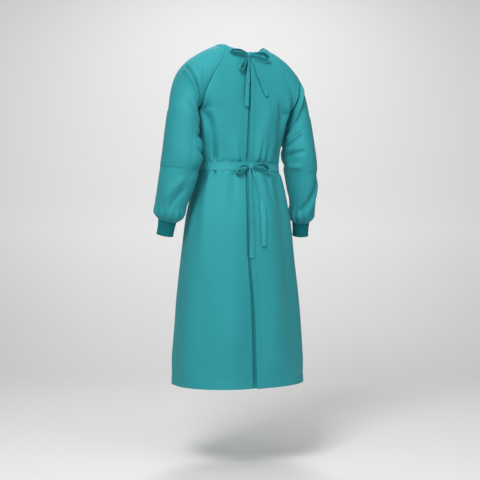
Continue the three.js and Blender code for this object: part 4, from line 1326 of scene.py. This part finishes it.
def stage_material(stage):
    """Matt paper of the stage, with painted shade: one sheet drawn darker on the floor than up the wall."""
    material = bpy.data.materials.new("stage_paper")
    material.use_nodes = True
    tree = material.node_tree
    shader = tree.nodes["Principled BSDF"]
    place = tree.nodes.new("ShaderNodeTexCoord")
    split = tree.nodes.new("ShaderNodeSeparateXYZ")
    tree.links.new(place.outputs["Object"], split.inputs[0])
    # Painted shade: the paper's colour ramps from the darker floor colour to the wall colour over 0.9 m of
    # height
    rise = tree.nodes.new("ShaderNodeMapRange")
    rise.inputs["From Min"].default_value = stage.floor
    rise.inputs["From Max"].default_value = stage.floor + 0.9
    tree.links.new(split.outputs[2], rise.inputs["Value"])
    painted_shade_blend = tree.nodes.new("ShaderNodeMix")
    painted_shade_blend.data_type = "RGBA"
    painted_shade_blend.inputs["A"].default_value = (*stage.shaded_floor_paper, 1)
    painted_shade_blend.inputs["B"].default_value = (*stage.wall_paper, 1)
    tree.links.new(rise.outputs[0], painted_shade_blend.inputs["Factor"])
    tree.links.new(painted_shade_blend.outputs["Result"], shader.inputs["Base Color"])
    shader.inputs["Roughness"].default_value = 0.95
    shader.inputs["Specular IOR Level"].default_value = 0.1
    return material


def add_sweep(stage, back, right, up):
    """The paper that runs along the floor and bends up into the backdrop."""
    radius = SWEEP["radius"]
    profile = [(SWEEP["front"], stage.floor)]
    for turn in np.linspace(0, np.pi / 2, 16):
        profile.append((SWEEP["bend"] - radius * math.sin(turn), stage.floor + radius * (1 - math.cos(turn))))
    profile.append((SWEEP["bend"] - radius, SWEEP["top"]))
    sides = (-SWEEP["half_width"], SWEEP["half_width"])
    verts = [back * away + up * z + right * side for away, z in profile for side in sides]
    faces = [(2 * i, 2 * i + 1, 2 * i + 3, 2 * i + 2) for i in range(len(profile) - 1)]
    new_piece("stage_paper", np.array(verts) / MM, faces, stage_material(stage))


def area_light(name, place, target, size, power, color):
    """A soft square light that looks at a point."""
    data = bpy.data.lights.new(name, "AREA")
    data.energy = power
    data.size = size
    data.color = color
    lamp = bpy.data.objects.new(name, data)
    lamp.location = place
    aim = np.asarray(target) - np.asarray(place)
    flat = math.hypot(aim[0], aim[1])
    lamp.rotation_euler = (math.atan2(flat, -aim[2]), 0, math.atan2(aim[1], aim[0]) - math.pi / 2)
    bpy.context.scene.collection.objects.link(lamp)


def add_air(strength):
    """The even light all round."""
    world = bpy.data.worlds.new("studio_air")
    world.use_nodes = True
    sky = world.node_tree.nodes["Background"]
    sky.inputs["Color"].default_value = (0.9, 0.93, 0.95, 1)
    sky.inputs["Strength"].default_value = strength
    bpy.context.scene.world = world


def add_camera(place, azimuth):
    """A level camera that looks at the gown's axis."""
    data = bpy.data.cameras.new("camera")
    data.lens = CAMERA["lens"]
    data.sensor_width = CAMERA["sensor"]
    camera = bpy.data.objects.new("camera", data)
    camera.location = place
    camera.rotation_euler = (math.pi / 2, 0, azimuth)
    bpy.context.scene.collection.objects.link(camera)
    bpy.context.scene.camera = camera


def add_stage(stage):
    """Paper sweep, lights, air and camera at the photograph's angle."""
    back = np.array([math.sin(stage.azimuth), -math.cos(stage.azimuth), 0])
    right = np.array([math.cos(stage.azimuth), math.sin(stage.azimuth), 0])
    up = np.array([0, 0, 1.0])
    add_sweep(stage, back, right, up)
    for light in LIGHTS:
        place = back * light.back + right * light.right + up * light.up
        power = getattr(stage, f"{light.name}_power")
        area_light(f"{light.name}_light", place, LIGHT_TARGET, light.size, power, light.color)
    add_air(stage.air)
    add_camera(back * stage.distance + right * CAMERA["aside"] + up * stage.eye, stage.azimuth)
    bpy.context.scene.view_settings.view_transform = "Standard"


# Settings, operators and panel


class GownClothSettings(bpy.types.PropertyGroup):
    """Sizes and colours of the cloth."""

    thickness: bpy.props.FloatProperty(
        name="Cloth thickness",
        description="Wall of the woven cloth, in millimetres",
        default=0.7,
        min=0.2,
        max=3,
    )
    crease: bpy.props.FloatProperty(
        name="Crease strength",
        description="Height of the small creases, 1 as placed",
        default=1.4,
        min=0,
        max=2,
    )
    cloth_color: bpy.props.FloatVectorProperty(
        name="Cloth colour",
        description="Dye of the woven cloth",
        subtype="COLOR",
        size=3,
        default=(0.018, 0.268, 0.302),
    )
    knit_color: bpy.props.FloatVectorProperty(
        name="Knit colour",
        description="Dye of the rib knit",
        subtype="COLOR",
        size=3,
        default=(0.0003, 0.15, 0.165),
    )


class GownStageSettings(bpy.types.PropertyGroup):
    """Where the camera and lights stand."""

    azimuth: bpy.props.FloatProperty(
        name="Azimuth",
        description="Turn of the camera round the gown",
        subtype="ANGLE",
        default=math.radians(152),
    )
    distance: bpy.props.FloatProperty(
        name="Distance", description="From the camera to the gown's axis", unit="LENGTH", default=3.76
    )
    eye: bpy.props.FloatProperty(
        name="Eye height",
        description="Height of the camera from the shoulder line",
        unit="LENGTH",
        default=-0.722,
    )
    floor: bpy.props.FloatProperty(
        name="Floor height",
        description="Height of the floor from the shoulder line",
        unit="LENGTH",
        default=-1.557,
    )
    key_power: bpy.props.FloatProperty(
        name="Key light", description="Power of the large soft light", unit="POWER", default=124
    )
    fill_power: bpy.props.FloatProperty(
        name="Fill light", description="Power of the weak light opposite", unit="POWER", default=34
    )
    top_power: bpy.props.FloatProperty(
        name="Top light", description="Power of the light from above", unit="POWER", default=34
    )
    front_power: bpy.props.FloatProperty(
        name="Front light",
        description="Power of the light on the gown's front",
        unit="POWER",
        default=60,
    )
    air: bpy.props.FloatProperty(name="Air", description="Strength of the even light all round", default=0.1)
    # Painted shade: the floor is drawn darker than the wall, though both are one sheet of paper
    shaded_floor_paper: bpy.props.FloatVectorProperty(
        name="Floor colour",
        description="Paper of the floor",
        subtype="COLOR",
        size=3,
        default=(0.72, 0.72, 0.72),
    )
    wall_paper: bpy.props.FloatVectorProperty(
        name="Wall colour",
        description="Paper of the backdrop",
        subtype="COLOR",
        size=3,
        default=(0.95, 0.95, 0.95),
    )


class GOWN_OT_front(bpy.types.Operator):
    """Build the front panel"""

    bl_idname = "gown.front"
    bl_label = "Front Panel"

    def execute(self, context):
        add_front(context.scene.gown_cloth)
        return {"FINISHED"}


class GOWN_OT_backs(bpy.types.Operator):
    """Build the two back panels"""

    bl_idname = "gown.backs"
    bl_label = "Back Panels"

    def execute(self, context):
        for name, _ in SIDES:
            add_back(context.scene.gown_cloth, name)
        return {"FINISHED"}


class GOWN_OT_sleeves(bpy.types.Operator):
    """Build the two sleeves"""

    bl_idname = "gown.sleeves"
    bl_label = "Sleeves"

    def execute(self, context):
        for name, side in SIDES:
            add_sleeve(context.scene.gown_cloth, name, side)
        return {"FINISHED"}


class GOWN_OT_patches(bpy.types.Operator):
    """Build the two elbow patches"""

    bl_idname = "gown.patches"
    bl_label = "Elbow Patches"

    def execute(self, context):
        for name, side in SIDES:
            add_patch(context.scene.gown_cloth, name, side)
        return {"FINISHED"}


class GOWN_OT_cuffs(bpy.types.Operator):
    """Build the two rib-knit cuffs"""

    bl_idname = "gown.cuffs"
    bl_label = "Cuffs"

    def execute(self, context):
        for name, side in SIDES:
            add_cuff(name, side)
        return {"FINISHED"}


class GOWN_OT_binding(bpy.types.Operator):
    """Build the neck binding"""

    bl_idname = "gown.binding"
    bl_label = "Neck Binding"

    def execute(self, context):
        add_binding()
        return {"FINISHED"}


class GOWN_OT_belt(bpy.types.Operator):
    """Build the belt"""

    bl_idname = "gown.belt"
    bl_label = "Belt"

    def execute(self, context):
        add_belt()
        return {"FINISHED"}


class GOWN_OT_bows(bpy.types.Operator):
    """Build the two tied bows"""

    bl_idname = "gown.bows"
    bl_label = "Bows"

    def execute(self, context):
        for name in KNOTS:
            add_bow(name)
        return {"FINISHED"}


class GOWN_OT_stage(bpy.types.Operator):
    """Set up the paper sweep, lights and camera"""

    bl_idname = "gown.stage"
    bl_label = "Stage"

    def execute(self, context):
        add_stage(context.scene.gown_stage)
        return {"FINISHED"}


OPERATORS = (
    GOWN_OT_front,
    GOWN_OT_backs,
    GOWN_OT_sleeves,
    GOWN_OT_patches,
    GOWN_OT_cuffs,
    GOWN_OT_binding,
    GOWN_OT_belt,
    GOWN_OT_bows,
    GOWN_OT_stage,
)


class GOWN_PT_pieces(bpy.types.Panel):
    """Lists the gown's pieces in the sidebar"""

    bl_idname = "GOWN_PT_pieces"
    bl_label = "Gown Pieces"
    bl_space_type = "VIEW_3D"
    bl_region_type = "UI"
    bl_category = "Gown"

    def draw(self, context):
        for name in ("thickness", "crease", "cloth_color", "knit_color"):
            self.layout.prop(context.scene.gown_cloth, name)
        for operator in OPERATORS:
            self.layout.operator(operator.bl_idname)


CLASSES = (GownClothSettings, GownStageSettings, *OPERATORS, GOWN_PT_pieces)


def register():
    """Adds the settings, operators and panel."""
    for cls in CLASSES:
        bpy.utils.register_class(cls)
    bpy.types.Scene.gown_cloth = bpy.props.PointerProperty(type=GownClothSettings)
    bpy.types.Scene.gown_stage = bpy.props.PointerProperty(type=GownStageSettings)


def unregister():
    """Takes the settings, operators and panel away."""
    del bpy.types.Scene.gown_stage
    del bpy.types.Scene.gown_cloth
    for cls in reversed(CLASSES):
        bpy.utils.unregister_class(cls)


def main():
    """Builds the gown's pieces and the stage."""
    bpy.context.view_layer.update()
    register()
    bpy.ops.gown.front()
    bpy.ops.gown.backs()
    bpy.ops.gown.sleeves()
    bpy.ops.gown.patches()
    bpy.ops.gown.cuffs()
    bpy.ops.gown.binding()
    bpy.ops.gown.belt()
    bpy.ops.gown.bows()
    bpy.ops.gown.stage()


if __name__ == "__main__":
    main()
